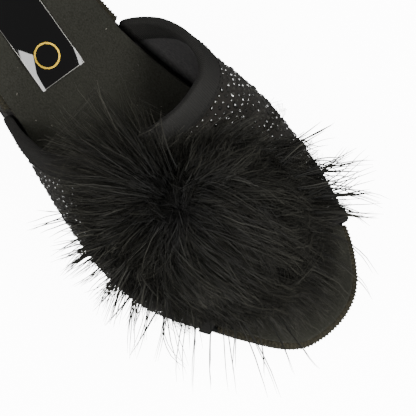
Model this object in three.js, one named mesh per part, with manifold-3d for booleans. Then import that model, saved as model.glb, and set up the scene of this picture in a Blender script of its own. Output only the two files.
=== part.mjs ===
// Open-toe marabou mule, right foot: a vamp band over a covered low wedge, with a feather pompom.
// Millimetres. +X runs to the toe, +Y to the medial side (the wearer's left), +Z up from the floor.
// The sections are worked out with the heel at x = 0, and the finished shoe is centred at the end.

import * as THREE from 'three';
import * as BufferGeometryUtils from 'three/addons/utils/BufferGeometryUtils.js';
import Module from 'manifold-3d';

const wasm = await Module();
wasm.setup();

// Driving dimensions of the last and of the sole.
const soleLength = 240;
const ballWidth = 85;
const heelRise = 29.5;
const toeSpring = 5;
const archLift = 2.5;
const outsoleThickness = 3;
const wedgeFrontThickness = 1.4;
const boardThickness = 5;
const sockThickness = 1;
const rimWidth = 2;

// Driving dimensions of the upper and of what is sewn to it.
const crownAtFront = 31.5;
const crownAtWaist = 85.5;
const upperWall = 1.6;
const upperOverhang = 1;
const toplineRibbonWidth = 8.5;
const frontRibbonWidth = 4;
const ribbonThickness = 0.6;

// The label on the sock, and the pompom on the vamp.
const labelWidth = 20;
const labelLength = 62;
const labelThickness = 0.4;
const labelFrontFromHeel = 99;
const pompomRadius = 37;
const pompomHeight = 42;
const pompomAlong = 182;
const pompomAcross = 7;
const pompomTilt = 20;
const pompomDrape = 10;
const pompomBelly = 0.2;
const pompomShortSide = 125;
const lockLength = 15;
const lockWidth = 9;
const lockCount = 64;
const lockLengthLeast = 0.72;
const lockRise = 0.6;
const lockSwirl = 0.15;
const lockDroop = 0.06;
const lockSag = 0.12;
const shortSideCut = 0.5;
const wispLength = 20;
const wispWidth = 6.3;
const wispClimb = 0.2;
const pompomOverhang = 3;
const hangShare = 0.8;

// Clearance between pieces that touch on the real shoe, and what is added where facets cut a corner.
const seatGap = 0.3;
const facetGap = 0.15;

// Sole edge from the heel forward. along is a share of soleLength.
// lateral and medial are shares of ballWidth, measured from the heel's centre line.
const soleEdgeTable = [
    { along: 0.0000, lateral: -0.010, medial: 0.010 },
    { along: 0.0140, lateral: -0.150, medial: 0.160 },
    { along: 0.0500, lateral: -0.255, medial: 0.265 },
    { along: 0.1100, lateral: -0.312, medial: 0.322 },
    { along: 0.1800, lateral: -0.322, medial: 0.337 },
    { along: 0.2700, lateral: -0.308, medial: 0.341 },
    { along: 0.3600, lateral: -0.302, medial: 0.356 },
    { along: 0.4500, lateral: -0.322, medial: 0.408 },
    { along: 0.5400, lateral: -0.350, medial: 0.490 },
    { along: 0.6300, lateral: -0.368, medial: 0.588 },
    { along: 0.7100, lateral: -0.362, medial: 0.643 },
    { along: 0.7900, lateral: -0.306, medial: 0.668 },
    { along: 0.8700, lateral: -0.166, medial: 0.652 },
    { along: 0.9300, lateral: -0.046, medial: 0.582 },
    { along: 0.9750, lateral: 0.060, medial: 0.478 },
    { along: 0.9950, lateral: 0.145, medial: 0.360 },
    { along: 1.0000, lateral: 0.245, medial: 0.255 },
];

// Side view of the bed. rise is a share of heelRise, spring of toeSpring and lift of archLift.
const bedTable = [
    { along: 0.00, rise: 1.000, spring: 0.00, lift: 0.00 },
    { along: 0.12, rise: 0.980, spring: 0.00, lift: 0.00 },
    { along: 0.25, rise: 0.835, spring: 0.00, lift: 0.00 },
    { along: 0.37, rise: 0.590, spring: 0.00, lift: 0.60 },
    { along: 0.46, rise: 0.360, spring: 0.00, lift: 1.00 },
    { along: 0.55, rise: 0.150, spring: 0.00, lift: 0.60 },
    { along: 0.64, rise: 0.030, spring: 0.00, lift: 0.00 },
    { along: 0.71, rise: 0.000, spring: 0.00, lift: 0.00 },
    { along: 0.80, rise: 0.000, spring: 0.00, lift: 0.00 },
    { along: 0.90, rise: 0.000, spring: 0.27, lift: 0.00 },
    { along: 1.00, rise: 0.000, spring: 1.00, lift: 0.00 },
];

// Sections of the last under the band. bulges are how far the upper stands past the sole's edge, as
// shares of ballWidth, and crown runs from 0 at the front edge's height to 1 at the waist's height.
const lastTable = [
    { along: 0.36, lateralBulge: 0.018, medialBulge: 0.046, crown: 1.060 },
    { along: 0.42, lateralBulge: 0.024, medialBulge: 0.098, crown: 0.945 },
    { along: 0.48, lateralBulge: 0.027, medialBulge: 0.122, crown: 0.822 },
    { along: 0.55, lateralBulge: 0.024, medialBulge: 0.126, crown: 0.665 },
    { along: 0.62, lateralBulge: 0.018, medialBulge: 0.112, crown: 0.495 },
    { along: 0.70, lateralBulge: 0.013, medialBulge: 0.078, crown: 0.312 },
    { along: 0.78, lateralBulge: 0.010, medialBulge: 0.047, crown: 0.158 },
    { along: 0.87, lateralBulge: 0.014, medialBulge: 0.018, crown: 0.000 },
    { along: 0.95, lateralBulge: 0.014, medialBulge: 0.014, crown: -0.080 },
];

// Edges of the band seen from above. turn is the angle round the section from the medial feather
// edge to the lateral one, and front and back are shares of soleLength.
const bandEdgeTable = [
    { turn: 0, front: 0.868, back: 0.392 },
    { turn: 12, front: 0.869, back: 0.439 },
    { turn: 30, front: 0.868, back: 0.494 },
    { turn: 48, front: 0.866, back: 0.544 },
    { turn: 65, front: 0.864, back: 0.573 },
    { turn: 90, front: 0.863, back: 0.592 },
    { turn: 110, front: 0.864, back: 0.586 },
    { turn: 130, front: 0.867, back: 0.562 },
    { turn: 143, front: 0.870, back: 0.535 },
    { turn: 156, front: 0.874, back: 0.501 },
    { turn: 168, front: 0.877, back: 0.457 },
    { turn: 180, front: 0.879, back: 0.408 },
];

// Fullness of the section: 1 is an ellipse, and less is squarer.
const sectionFullness = 0.84;
const crownShiftToMedial = 0.03 * ballWidth;
const tuckHeight = 19;

// Long wisps of the pompom. bearing is in degrees from the toe towards the medial side, reach is a
// share of wispLength, and rise is the tip's height over the vamp as a share of pompomHeight.
const wispTable = [
    { bearing: -112, reach: 0.55, rise: 0.10 },
    { bearing: -93, reach: 0.85, rise: 0.05 },
    { bearing: -74, reach: 0.80, rise: -0.05 },
    { bearing: -50, reach: 0.85, rise: -0.30 },
    { bearing: -30, reach: 0.75, rise: -0.38 },
    { bearing: -10, reach: 0.70, rise: -0.42 },
    { bearing: 10, reach: 0.60, rise: -0.40 },
    { bearing: 30, reach: 0.70, rise: -0.30 },
    { bearing: 50, reach: 0.90, rise: -0.10 },
    { bearing: 68, reach: 0.95, rise: 0.10 },
    { bearing: 90, reach: 0.75, rise: 0.18 },
];

// Shape of one lock: the width at a share of its length, as a share of its width at the root.
const lockTable = [
    { along: 0.00, width: 1.00 },
    { along: 0.55, width: 0.70 },
    { along: 1.00, width: 0.12 },
];

// Small shapes of the sole's side.
const outsoleBevel = 0.8;
const wedgeSetBack = 0.4;
const wedgeHollow = 0.8;
const boardLowerBevel = 0.4;
const boardUpperBevel = 0.6;
const sockBevel = 0.3;
const stepRun = 2;

// Facets.
const lengthSteps = 28;
const widthSteps = 4;
const labelSteps = 8;
const turnSteps = 40;
const bandSteps = 7;
const seatStep = 6;
const seatTurn = 7.5;

const mix = (a, b, t) => a + (b - a) * t;
const clamp = (v, low, high) => Math.min(high, Math.max(low, v));
const smooth = (t) => {
    const s = clamp(t, 0, 1);
    return s * s * (3 - 2 * s);
};

// Value of a column of a table at a place, by a smooth curve through the rows that never overshoots.
function columnAt(table, key, column, place) {
    const last = table.length - 1;
    const at = clamp(place, table[0][key], table[last][key]);
    let i = 0;
    while (i < last - 1 && at > table[i + 1][key]) i += 1;
    const slope = (k) => (table[k + 1][column] - table[k][column]) / (table[k + 1][key] - table[k][key]);
    const tangent = (k) => {
        if (k === 0) return slope(0);
        if (k === last) return slope(last - 1);
        const before = slope(k - 1);
        const after = slope(k);
        return before * after <= 0 ? 0 : (2 * before * after) / (before + after);
    };
    const width = table[i + 1][key] - table[i][key];
    const t = (at - table[i][key]) / width;
    const h00 = (1 + 2 * t) * (1 - t) * (1 - t);
    const h10 = t * (1 - t) * (1 - t);
    const h01 = t * t * (3 - 2 * t);
    const h11 = t * t * (t - 1);
    return h00 * table[i][column] + h10 * width * tangent(i)
        + h01 * table[i + 1][column] + h11 * width * tangent(i + 1);
}

// Closed curve of the sole's edge: heel, medial side, toe, lateral side.
const medialPoints = soleEdgeTable.map((row) => [row.along * soleLength, row.medial * ballWidth]);
const lateralPoints = soleEdgeTable.map((row) => [row.along * soleLength, row.lateral * ballWidth]);
const soleCurve = new THREE.CatmullRomCurve3(
    [...medialPoints, ...lateralPoints.reverse()].map(([x, y]) => new THREE.Vector3(x, y, 0)),
    true,
    'centripetal',
);
const soleLoop = soleCurve.getSpacedPoints(480).slice(0, 480);

// Half of the loop's points belong to each side, split at the heel and at the toe.
const toeIndex = soleLoop.reduce((best, p, i) => (p.x > soleLoop[best].x ? i : best), 0);
const heelIndex = soleLoop.reduce((best, p, i) => (p.x < soleLoop[best].x ? i : best), 0);

// y of the sole's edge at x. side is 1 for medial and -1 for lateral.
function soleEdge(x, side) {
    const points = [];
    let i = heelIndex;
    while (i !== toeIndex) {
        points.push(soleLoop[i]);
        i = (i + side + soleLoop.length) % soleLoop.length;
    }
    points.push(soleLoop[toeIndex]);
    const at = clamp(x, points[0].x, points[points.length - 1].x);
    let k = 0;
    while (k < points.length - 2 && points[k + 1].x < at) k += 1;
    const share = (at - points[k].x) / Math.max(points[k + 1].x - points[k].x, 1e-6);
    return mix(points[k].y, points[k + 1].y, clamp(share, 0, 1));
}

// Heights of the layers at a place along the shoe.
const bedAt = (column, x) => columnAt(bedTable, 'along', column, x / soleLength);
const outsoleBottom = (x) => archLift * bedAt('lift', x) + toeSpring * bedAt('spring', x);
const outsoleTop = (x) => outsoleBottom(x) + outsoleThickness;
const boardBottom = (x) => outsoleThickness + seatGap
    + heelRise * bedAt('rise', x) + toeSpring * bedAt('spring', x);
const boardTop = (x) => boardBottom(x) + boardThickness;
const sockBottom = (x) => boardTop(x) + seatGap;
const sockTop = (x) => sockBottom(x) + sockThickness;

// The wedge ends where only its front thickness is left between outsole and board.
const wedgeRoom = (x) => boardBottom(x) - outsoleTop(x) - 2 * seatGap;
let wedgeFront = 0.5 * soleLength;
while (wedgeRoom(wedgeFront) > wedgeFrontThickness) wedgeFront += seatGap;

// The band's edges at an angle round the section, in degrees.
const bandFront = (turn) => soleLength * columnAt(bandEdgeTable, 'turn', 'front', turn);
const bandBack = (turn) => soleLength * columnAt(bandEdgeTable, 'turn', 'back', turn);

// How far the upper stands past the sole's edge at x. side is 1 for medial and -1 for lateral.
const upperBulge = (x, side) => ballWidth
    * columnAt(lastTable, 'along', side > 0 ? 'medialBulge' : 'lateralBulge', x / soleLength);

// y of the upper's widest place at x.
const upperSide = (x, side) => soleEdge(x, side) + side * upperBulge(x, side);

// Outer face of the upper at x and at an angle round the section, in degrees.
function lastPoint(x, turn) {
    const along = x / soleLength;
    const side = turn <= 90 ? 1 : -1;
    const medial = upperSide(x, 1);
    const lateral = upperSide(x, -1);
    const crownAcross = (medial + lateral) / 2 + crownShiftToMedial;
    const feather = boardBottom(x);
    const crown = mix(crownAtFront, crownAtWaist, columnAt(lastTable, 'along', 'crown', along)) - feather;
    const angle = THREE.MathUtils.degToRad(turn);
    const out = Math.abs(Math.cos(angle)) ** sectionFullness;
    const up = Math.abs(Math.sin(angle)) ** sectionFullness;
    const reach = side > 0 ? medial - crownAcross : crownAcross - lateral;
    const rise = crown * up;
    const bulge = upperBulge(x, side);
    const tuck = Math.max(bulge - upperOverhang, 0) * clamp(1 - rise / tuckHeight, 0, 1) ** 2;
    return new THREE.Vector3(x, crownAcross + side * (reach * out - tuck), feather + rise);
}

// Outward direction of the upper's face, from two small steps along it.
function lastNormal(x, turn) {
    const turnA = clamp(turn - 0.5, 0.2, 178.8);
    const alongStep = lastPoint(x + 0.5, turnA + 0.5).sub(lastPoint(x - 0.5, turnA + 0.5));
    const turnStep = lastPoint(x, turnA + 1).sub(lastPoint(x, turnA));
    return turnStep.cross(alongStep).normalize();
}

// A place in the upper: depth is measured outward from its outer face, and never under the feather edge.
function upperPoint(x, turn, depth) {
    const point = lastPoint(x, turn).addScaledVector(lastNormal(x, turn), depth);
    point.z = Math.max(point.z, boardBottom(x));
    return point;
}

// Closed geometry from a list of points and triangles.
function geometryOf(points, triangles) {
    const geometry = new THREE.BufferGeometry();
    const flat = points.flatMap((p) => [p.x, p.y, p.z]);
    geometry.setAttribute('position', new THREE.Float32BufferAttribute(flat, 3));
    geometry.setIndex(triangles.flat());
    return geometry;
}

// Closed skin over rings of points: neighbours are joined, and the first and last ring are capped.
function skinOfRings(rings, cap) {
    const count = rings[0].length;
    const triangles = [];
    for (let r = 0; r < rings.length - 1; r += 1) {
        for (let i = 0; i < count; i += 1) {
            const a = r * count + i;
            const b = r * count + ((i + 1) % count);
            triangles.push([a, b, b + count], [a, b + count, a + count]);
        }
    }
    const last = (rings.length - 1) * count;
    for (const [a, b, c] of cap) triangles.push([c, b, a], [last + a, last + b, last + c]);
    return geometryOf(rings.flat(), triangles);
}

// Rim of a grid of points, once round: first column, last row, last column back, first row back.
const rimOf = (grid) => [
    ...grid.map((row) => row[0]),
    ...grid[grid.length - 1].slice(1),
    ...grid.slice(0, -1).reverse().map((row) => row[row.length - 1]),
    ...grid[0].slice(1, -1).reverse(),
];

// Closed skin of a low grid and a high grid, whose rims are joined through the rings between them.
function skinOfGrids(low, high, ringsBetween = []) {
    const points = [];
    const number = (p) => points.push(p) - 1;
    const lowIndex = low.map((row) => row.map(number));
    const highIndex = high.map((row) => row.map(number));
    const rings = [rimOf(lowIndex), ...ringsBetween.map((ring) => ring.map(number)), rimOf(highIndex)];
    const triangles = [];
    const quad = (a, b, c, d) => triangles.push([a, b, c], [a, c, d]);
    for (let i = 0; i < low.length - 1; i += 1) {
        for (let j = 0; j < low[0].length - 1; j += 1) {
            quad(highIndex[i][j], highIndex[i + 1][j], highIndex[i + 1][j + 1], highIndex[i][j + 1]);
            quad(lowIndex[i][j], lowIndex[i][j + 1], lowIndex[i + 1][j + 1], lowIndex[i + 1][j]);
        }
    }
    for (let k = 0; k < rings.length - 1; k += 1) {
        for (let i = 0; i < rings[k].length; i += 1) {
            const n = (i + 1) % rings[k].length;
            quad(rings[k][i], rings[k][n], rings[k + 1][n], rings[k + 1][i]);
        }
    }
    return geometryOf(points, triangles);
}

// Layer of the sole from the heel to x = to. inset(x, side) moves its edge in from the sole's edge.
// side lists the shape of its wall: level is 0 at the bottom face and 1 at the top face. A layer that
// ends short of the toe is cut square there, and stops lists places where a row of points must fall.
function soleLayer({ inset, bottom, top, side, to = soleLength, stops = [] }) {
    const isCut = to < soleLength;
    const edge = (x, which, extra, isSquare) => {
        const before = Math.max(x - seatGap, 0);
        const after = Math.min(x + seatGap, soleLength);
        const slope = (soleEdge(after, which) - soleEdge(before, which)) / (after - before);
        const outward = new THREE.Vector2(-slope * which, 1).normalize();
        const distance = inset(x, which) + extra;
        if (isSquare) return [x, soleEdge(x, which) - (which * distance) / outward.y];
        return [x - outward.x * distance, soleEdge(x, which) - outward.y * which * distance];
    };
    const spread = (t) => (isCut ? 1 - Math.sin((Math.PI * (1 - t)) / 2) : (1 - Math.cos(Math.PI * t)) / 2);
    const evenly = Array.from({ length: lengthSteps + 1 }, (_, i) => to * spread(i / lengthSteps));
    const isClear = (x) => x === 0 || x === to || stops.every((stop) => Math.abs(x - stop) > stepRun);
    const rows = [...evenly.filter(isClear), ...stops].sort((a, b) => a - b);
    const gridAt = ({ level, extra }) => rows.map((x) => {
        const isSquare = isCut && x === to;
        const [xLateral, yLateral] = edge(x, -1, extra, isSquare);
        const [xMedial, yMedial] = edge(x, 1, extra, isSquare);
        return Array.from({ length: widthSteps + 1 }, (__, j) => {
            const px = mix(xLateral, xMedial, j / widthSteps);
            const py = mix(yLateral, yMedial, j / widthSteps);
            return new THREE.Vector3(px, py, mix(bottom(px), top(px), level));
        });
    });
    const grids = side.map(gridAt);
    return skinOfGrids(grids[0], grids[grids.length - 1], grids.slice(1, -1).map(rimOf));
}

// Under the band the board and the sock step in, to leave room for the upper and its two ribbons.
const ribbonRoom = ribbonThickness + 3 * seatGap;
const bandStepIn = upperWall - upperOverhang + ribbonRoom + seatGap;
const bandSpan = (side) => {
    const turn = side > 0 ? 0 : 180;
    return [bandBack(turn) - ribbonRoom, bandFront(turn) + ribbonRoom];
};
function underBand(x, side) {
    const [start, end] = bandSpan(side);
    return clamp((x - start) / stepRun + 1, 0, 1) * clamp((end - x) / stepRun + 1, 0, 1);
}
const bandStops = [1, -1].flatMap((side) => {
    const [start, end] = bandSpan(side);
    return [start - stepRun, start, end, end + stepRun];
});
const boardInset = (x, side) => bandStepIn * underBand(x, side);
const sockInset = (x, side) => mix(rimWidth, bandStepIn + seatGap, underBand(x, side));

// The outsole fills the room under the board, less the room that the wedge takes.
function outsoleGeometry() {
    const blank = soleLayer({
        inset: () => 0,
        bottom: outsoleBottom,
        top: (x) => boardBottom(x) - seatGap,
        side: [
            { level: 0, extra: outsoleBevel },
            { level: 0.3, extra: 0 },
            { level: 1, extra: 0 },
        ],
    });
    const wedgeSpace = soleLayer({
        inset: () => -rimWidth,
        bottom: outsoleTop,
        top: boardTop,
        side: [
            { level: 0, extra: 0 },
            { level: 1, extra: 0 },
        ],
        to: wedgeFront + seatGap,
    });
    return geometryOfSolid(solidOf(blank).subtract(solidOf(wedgeSpace)));
}

const wedgeGeometry = () => soleLayer({
    inset: () => wedgeSetBack,
    bottom: (x) => outsoleTop(x) + seatGap,
    top: (x) => boardBottom(x) - seatGap,
    side: [
        { level: 0, extra: 0 },
        { level: 0.5, extra: wedgeHollow },
        { level: 1, extra: 0 },
    ],
    to: wedgeFront,
});

const boardGeometry = () => soleLayer({
    inset: boardInset,
    bottom: boardBottom,
    top: boardTop,
    side: [
        { level: 0, extra: boardLowerBevel },
        { level: 0.2, extra: 0 },
        { level: 0.8, extra: 0 },
        { level: 1, extra: boardUpperBevel },
    ],
    stops: bandStops,
});

const sockGeometry = () => soleLayer({
    inset: sockInset,
    bottom: sockBottom,
    top: sockTop,
    side: [
        { level: 0, extra: 0 },
        { level: 1, extra: sockBevel },
    ],
    stops: bandStops,
});

// The label lies on the sock along the heel's centre line.
function labelGeometry() {
    const gridAt = (height) => Array.from({ length: labelSteps + 1 }, (_, i) => {
        const x = labelFrontFromHeel - labelLength * (1 - i / labelSteps);
        return [-0.5, 0.5].map((share) => new THREE.Vector3(x, share * labelWidth, sockTop(x) + height));
    });
    return skinOfGrids(gridAt(seatGap), gridAt(seatGap + labelThickness));
}

// x step along the band that covers one millimetre square to an edge of it.
function stretchAt(edgeOf, turn) {
    const next = Math.min(turn + 1, 180);
    const edgeStep = lastPoint(edgeOf(next), next).sub(lastPoint(edgeOf(next - 1), next - 1)).normalize();
    const forwardStep = lastPoint(edgeOf(turn) + 1, turn).sub(lastPoint(edgeOf(turn), turn));
    return 1 / forwardStep.cross(edgeStep).length();
}

// Places across the band at an angle: both edges, the ribbons' middles and inner ends, and between.
function bandStations(turn) {
    const backStep = stretchAt(bandBack, turn) * toplineRibbonWidth;
    const frontStep = stretchAt(bandFront, turn) * frontRibbonWidth;
    const back = bandBack(turn);
    const front = bandFront(turn);
    const between = Array.from({ length: bandSteps + 1 }, (_, j) => (
        mix(back + backStep, front - frontStep, j / bandSteps)
    ));
    return [back, back + backStep / 2, ...between, front - frontStep / 2, front];
}

// The vamp band: one wall between its outer face and the same face moved in by the wall.
function upperGeometry() {
    const gridAt = (depth) => Array.from({ length: turnSteps + 1 }, (_, i) => {
        const turn = (180 * i) / turnSteps;
        return bandStations(turn).map((x) => upperPoint(x, turn, depth));
    });
    return skinOfGrids(gridAt(-upperWall), gridAt(0));
}

// Ribbon folded over an edge of the band, as a channel that holds the wall with seatGap all round.
// inward is 1 where the band lies in front of the edge, and -1 where it lies behind it.
function ribbonGeometry(edgeOf, width, inward) {
    const faces = (gap) => ({ outer: gap, beyond: -gap, inner: -upperWall - gap });
    const near = faces(seatGap);
    const far = faces(seatGap + ribbonThickness);
    const pathOf = ({ outer, beyond, inner }) => [
        [1, 0, outer],
        [0.5, 0, outer],
        [0, 0, outer],
        [0, beyond, mix(outer, inner, 0.25)],
        [0, beyond, mix(outer, inner, 0.75)],
        [0, 0, inner],
        [0.5, 0, inner],
        [1, 0, inner],
    ];
    const section = [...pathOf(far), ...pathOf(near).reverse()];
    const half = section.length / 2;
    const cap = Array.from({ length: half - 1 }, (_, k) => [
        [k, k + 1, section.length - 2 - k],
        [k, section.length - 2 - k, section.length - 1 - k],
    ]).flat();
    const rings = Array.from({ length: turnSteps + 1 }, (_, i) => {
        const turn = (180 * i) / turnSteps;
        const x = edgeOf(turn);
        const stretch = stretchAt(edgeOf, turn);
        return section.map(([share, extra, depth]) => (
            upperPoint(x + inward * stretch * (share * width + extra), turn, depth)
        ));
    });
    return skinOfRings(inward > 0 ? rings : rings.reverse(), cap);
}

// Solids for joining and cutting.
function solidOf(geometry) {
    const merged = BufferGeometryUtils.mergeVertices(geometry);
    return new wasm.Manifold(new wasm.Mesh({
        numProp: 3,
        vertProperties: new Float32Array(merged.attributes.position.array),
        triVerts: new Uint32Array(merged.index.array),
    }));
}

function geometryOfSolid(solid) {
    const mesh = solid.getMesh();
    const geometry = new THREE.BufferGeometry();
    geometry.setAttribute('position', new THREE.BufferAttribute(mesh.vertProperties, 3));
    geometry.setIndex(new THREE.BufferAttribute(mesh.triVerts, 1));
    return geometry;
}

// What the pompom lies on: the last with its upper and ribbons, and the clearance over them.
function pompomSeat() {
    const sections = [];
    const reach = pompomRadius + lockLength;
    for (let x = pompomAlong - reach; x <= pompomAlong + reach; x += seatStep) {
        const ring = [];
        for (let turn = 0; turn <= 180; turn += seatTurn) {
            const toBack = (x - bandBack(turn)) / toplineRibbonWidth;
            const toFront = (bandFront(turn) - x) / frontRibbonWidth;
            const onRibbon = Math.max(1 - smooth(toBack - 1), 1 - smooth(toFront - 1));
            const ribbonDepth = onRibbon * (ribbonThickness + seatGap);
            ring.push(upperPoint(x, turn, seatGap + facetGap + ribbonDepth));
        }
        sections.push(ring);
    }
    const count = sections[0].length;
    const fan = Array.from({ length: count - 2 }, (_, k) => [0, k + 1, k + 2]);
    return solidOf(skinOfRings(sections, fan));
}

// One lock of feathers: a tapered horn of square section from a root to a tip, bent by a sag.
function lockSolid(root, tip, width, sag) {
    const axis = tip.clone().sub(root).normalize();
    const across = new THREE.Vector3(-axis.y, axis.x, 0).normalize();
    const over = axis.clone().cross(across);
    const rings = lockTable.map(({ along, width: share }) => {
        const centre = root.clone().lerp(tip, along);
        centre.z += sag * 4 * along * (1 - along);
        return [0, 1, 2, 3].map((k) => centre.clone()
            .addScaledVector(across, Math.cos((Math.PI * k) / 2) * (width / 2) * share)
            .addScaledVector(over, Math.sin((Math.PI * k) / 2) * (width / 2) * share));
    });
    return solidOf(skinOfRings(rings, [[0, 1, 2], [0, 2, 3]]));
}

// A tip past the shoe's side is drawn in to pompomOverhang past it, and hangs lower instead.
function drawnIn(tip) {
    const y = clamp(tip.y, upperSide(tip.x, -1) - pompomOverhang, upperSide(tip.x, 1) + pompomOverhang);
    return new THREE.Vector3(tip.x, y, tip.z - hangShare * Math.abs(tip.y - y));
}

// The pompom: a rounded heart with locks all over it and a few long wisps, cut to its seat. It leans
// with the vamp and drapes down both sides of it. Lock ends that the seat cuts off are left out.
function pompomGeometry() {
    const seat = upperPoint(pompomAlong, 90, 0);
    const lean = THREE.MathUtils.degToRad(pompomTilt);
    const leanAxis = new THREE.Vector3(0, 1, 0);
    const middle = new THREE.Vector3(pompomAlong, pompomAcross, seat.z);
    const draped = (point) => {
        const low = point.z - pompomDrape * (point.y / pompomRadius) ** 2;
        return new THREE.Vector3(point.x, point.y, low).applyAxisAngle(leanAxis, lean).add(middle);
    };
    const heartHeight = pompomHeight - lockLength / 2;
    const place = (bearing, climb, reach) => draped(new THREE.Vector3(
        (pompomRadius + reach) * Math.cos(climb) * Math.cos(bearing),
        (pompomRadius + reach) * Math.cos(climb) * Math.sin(bearing),
        (heartHeight + reach * lockRise) * Math.sin(climb),
    ));
    const heart = new THREE.SphereGeometry(1, 20, 14);
    heart.deleteAttribute('normal');
    heart.deleteAttribute('uv');
    heart.rotateX(Math.PI / 2);
    heart.scale(pompomRadius, pompomRadius, heartHeight);
    const position = heart.attributes.position;
    for (let i = 0; i < position.count; i += 1) {
        const point = new THREE.Vector3().fromBufferAttribute(position, i);
        if (point.z < 0) point.z *= pompomBelly;
        const { x, y, z } = draped(point);
        position.setXYZ(i, x, y, z);
    }
    let pompom = solidOf(heart);
    const shortSide = THREE.MathUtils.degToRad(pompomShortSide);
    const goldenAngle = Math.PI * (3 - Math.sqrt(5));
    for (let i = 0; i < lockCount; i += 1) {
        const climb = Math.asin(1 - (i + 1) / (lockCount + 1));
        const bearing = i * goldenAngle;
        const shortening = shortSideCut * Math.max(Math.cos(bearing - shortSide), 0) * Math.cos(climb);
        const uneven = lockLengthLeast + (1 - lockLengthLeast) * Math.sin(bearing) ** 2;
        const length = lockLength * uneven * (1 - shortening);
        const root = place(bearing, climb, -lockWidth);
        const tip = drawnIn(place(bearing + lockSwirl, climb - lockDroop, length));
        pompom = pompom.add(lockSolid(root, tip, lockWidth, lockSag * length));
    }
    for (const { bearing, reach, rise } of wispTable) {
        const angle = THREE.MathUtils.degToRad(bearing);
        const root = place(angle - lockSwirl, wispClimb, -lockWidth);
        const tip = place(angle, 0, wispLength * reach);
        tip.z = seat.z + pompomHeight * rise;
        pompom = pompom.add(lockSolid(root, drawnIn(tip), wispWidth, lockSag * wispLength));
    }
    const seated = pompom.subtract(pompomSeat()).decompose();
    return geometryOfSolid(seated.reduce((big, next) => (next.volume() > big.volume() ? next : big)));
}

function piece(name, geometry, color, roughness, metalness = 0) {
    const material = new THREE.MeshStandardMaterial({ color, roughness, metalness });
    const mesh = new THREE.Mesh(geometry, material);
    mesh.name = name;
    return mesh;
}

const shoe = new THREE.Group();
shoe.add(
    piece('outsole', outsoleGeometry(), 0x1b1b1c, 0.7),
    piece('wedge', wedgeGeometry(), 0x232120, 0.8),
    piece('insole_board', boardGeometry(), 0x2c2a22, 0.8),
    piece('insole_sock', sockGeometry(), 0x2a2925, 0.9),
    piece('sock_label', labelGeometry(), 0x0d0d0d, 0.15),
    piece('upper', upperGeometry(), 0x1f1d1b, 0.8),
    piece('topline_ribbon', ribbonGeometry(bandBack, toplineRibbonWidth, 1), 0x171717, 0.6),
    piece('front_ribbon', ribbonGeometry(bandFront, frontRibbonWidth, -1), 0x171717, 0.6),
    piece('pompom', pompomGeometry(), 0x151412, 0.95),
);

// The shoe stands with the middle of its box over the origin.
const box = new THREE.Box3().setFromObject(shoe);
shoe.position.set(-(box.min.x + box.max.x) / 2, -(box.min.y + box.max.y) / 2, -box.min.z);

export default shoe;
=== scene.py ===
# %% [markdown]
# # An open-toe mule with a marabou pompom
#
# The real shoe is a slip-on house shoe for the right foot: a low covered wedge, a suede sock with a foil
# label, and one broad band over the vamp, set with small grey stones and bound with ribbed ribbon.
# A big knot of marabou, the down of a stork's or turkey's feather, hides most of the band.
#
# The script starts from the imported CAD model, which is a fixed frame, and builds each visible piece
# around it. It works in millimetres from the back of the heel, and turns to metres when a mesh is made.

# %% Load the fixed frame
import math

import bpy
import numpy as np
from mathutils import Matrix, Vector
from mathutils.bvhtree import BVHTree


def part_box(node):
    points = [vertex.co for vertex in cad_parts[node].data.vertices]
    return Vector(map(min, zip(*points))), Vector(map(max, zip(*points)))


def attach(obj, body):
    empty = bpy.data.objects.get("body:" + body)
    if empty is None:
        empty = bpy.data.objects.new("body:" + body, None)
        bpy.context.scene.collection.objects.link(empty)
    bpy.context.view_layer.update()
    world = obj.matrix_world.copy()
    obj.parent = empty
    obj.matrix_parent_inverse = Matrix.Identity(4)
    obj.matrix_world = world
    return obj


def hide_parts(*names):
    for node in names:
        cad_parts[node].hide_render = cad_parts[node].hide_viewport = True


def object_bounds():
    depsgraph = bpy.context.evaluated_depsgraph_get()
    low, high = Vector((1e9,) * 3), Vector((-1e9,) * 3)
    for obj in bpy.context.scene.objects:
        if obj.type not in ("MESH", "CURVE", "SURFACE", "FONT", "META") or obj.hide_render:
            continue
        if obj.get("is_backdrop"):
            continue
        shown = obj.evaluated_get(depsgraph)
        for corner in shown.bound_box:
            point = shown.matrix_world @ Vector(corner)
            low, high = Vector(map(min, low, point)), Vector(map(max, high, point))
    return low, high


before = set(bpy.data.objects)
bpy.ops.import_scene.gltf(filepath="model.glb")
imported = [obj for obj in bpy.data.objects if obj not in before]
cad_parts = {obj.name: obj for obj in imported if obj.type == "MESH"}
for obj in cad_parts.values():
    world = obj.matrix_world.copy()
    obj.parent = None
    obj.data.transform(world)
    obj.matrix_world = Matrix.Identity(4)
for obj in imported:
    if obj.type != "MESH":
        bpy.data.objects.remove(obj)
cad_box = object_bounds()
print("CAD nodes:", sorted(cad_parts))

# %% [markdown]
# ## Heel coordinates
#
# The sole's curves are easiest to read with the back of the heel at x = 0 and the heel's centre line at
# y = 0. The label lies on that line with its front edge 99 mm from the heel, so its box in the frame
# gives the offset between the two. Medial is the side of the big toe, with y above 0, and lateral the
# outer side.

# %% From heel coordinates in millimetres to the frame in metres
MM = 0.001
LABEL_FRONT = 99.0
LABEL_LENGTH = 62.0
LABEL_WIDTH = 20.0
label_low, label_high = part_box("sock_label")
heel_point = np.array([label_high.x - LABEL_FRONT * MM, (label_low.y + label_high.y) / 2, 0.0])


def to_frame(points):
    """Heel coordinates in millimetres to the frame's metres."""
    return np.asarray(points, float) * MM + heel_point


print("heel point in the frame, mm:", (heel_point / MM).round(2))

# %% [markdown]
# ## The shape of the sole and of the last
#
# A last is the wooden or plastic foot that a shoe is built over. These tables are the ones that the
# part's source uses, so that every thread and stone here lands on the solids: the edge of the sole seen
# from above, the height of the bed, the sections of the last, and the two edges of the band.

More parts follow.
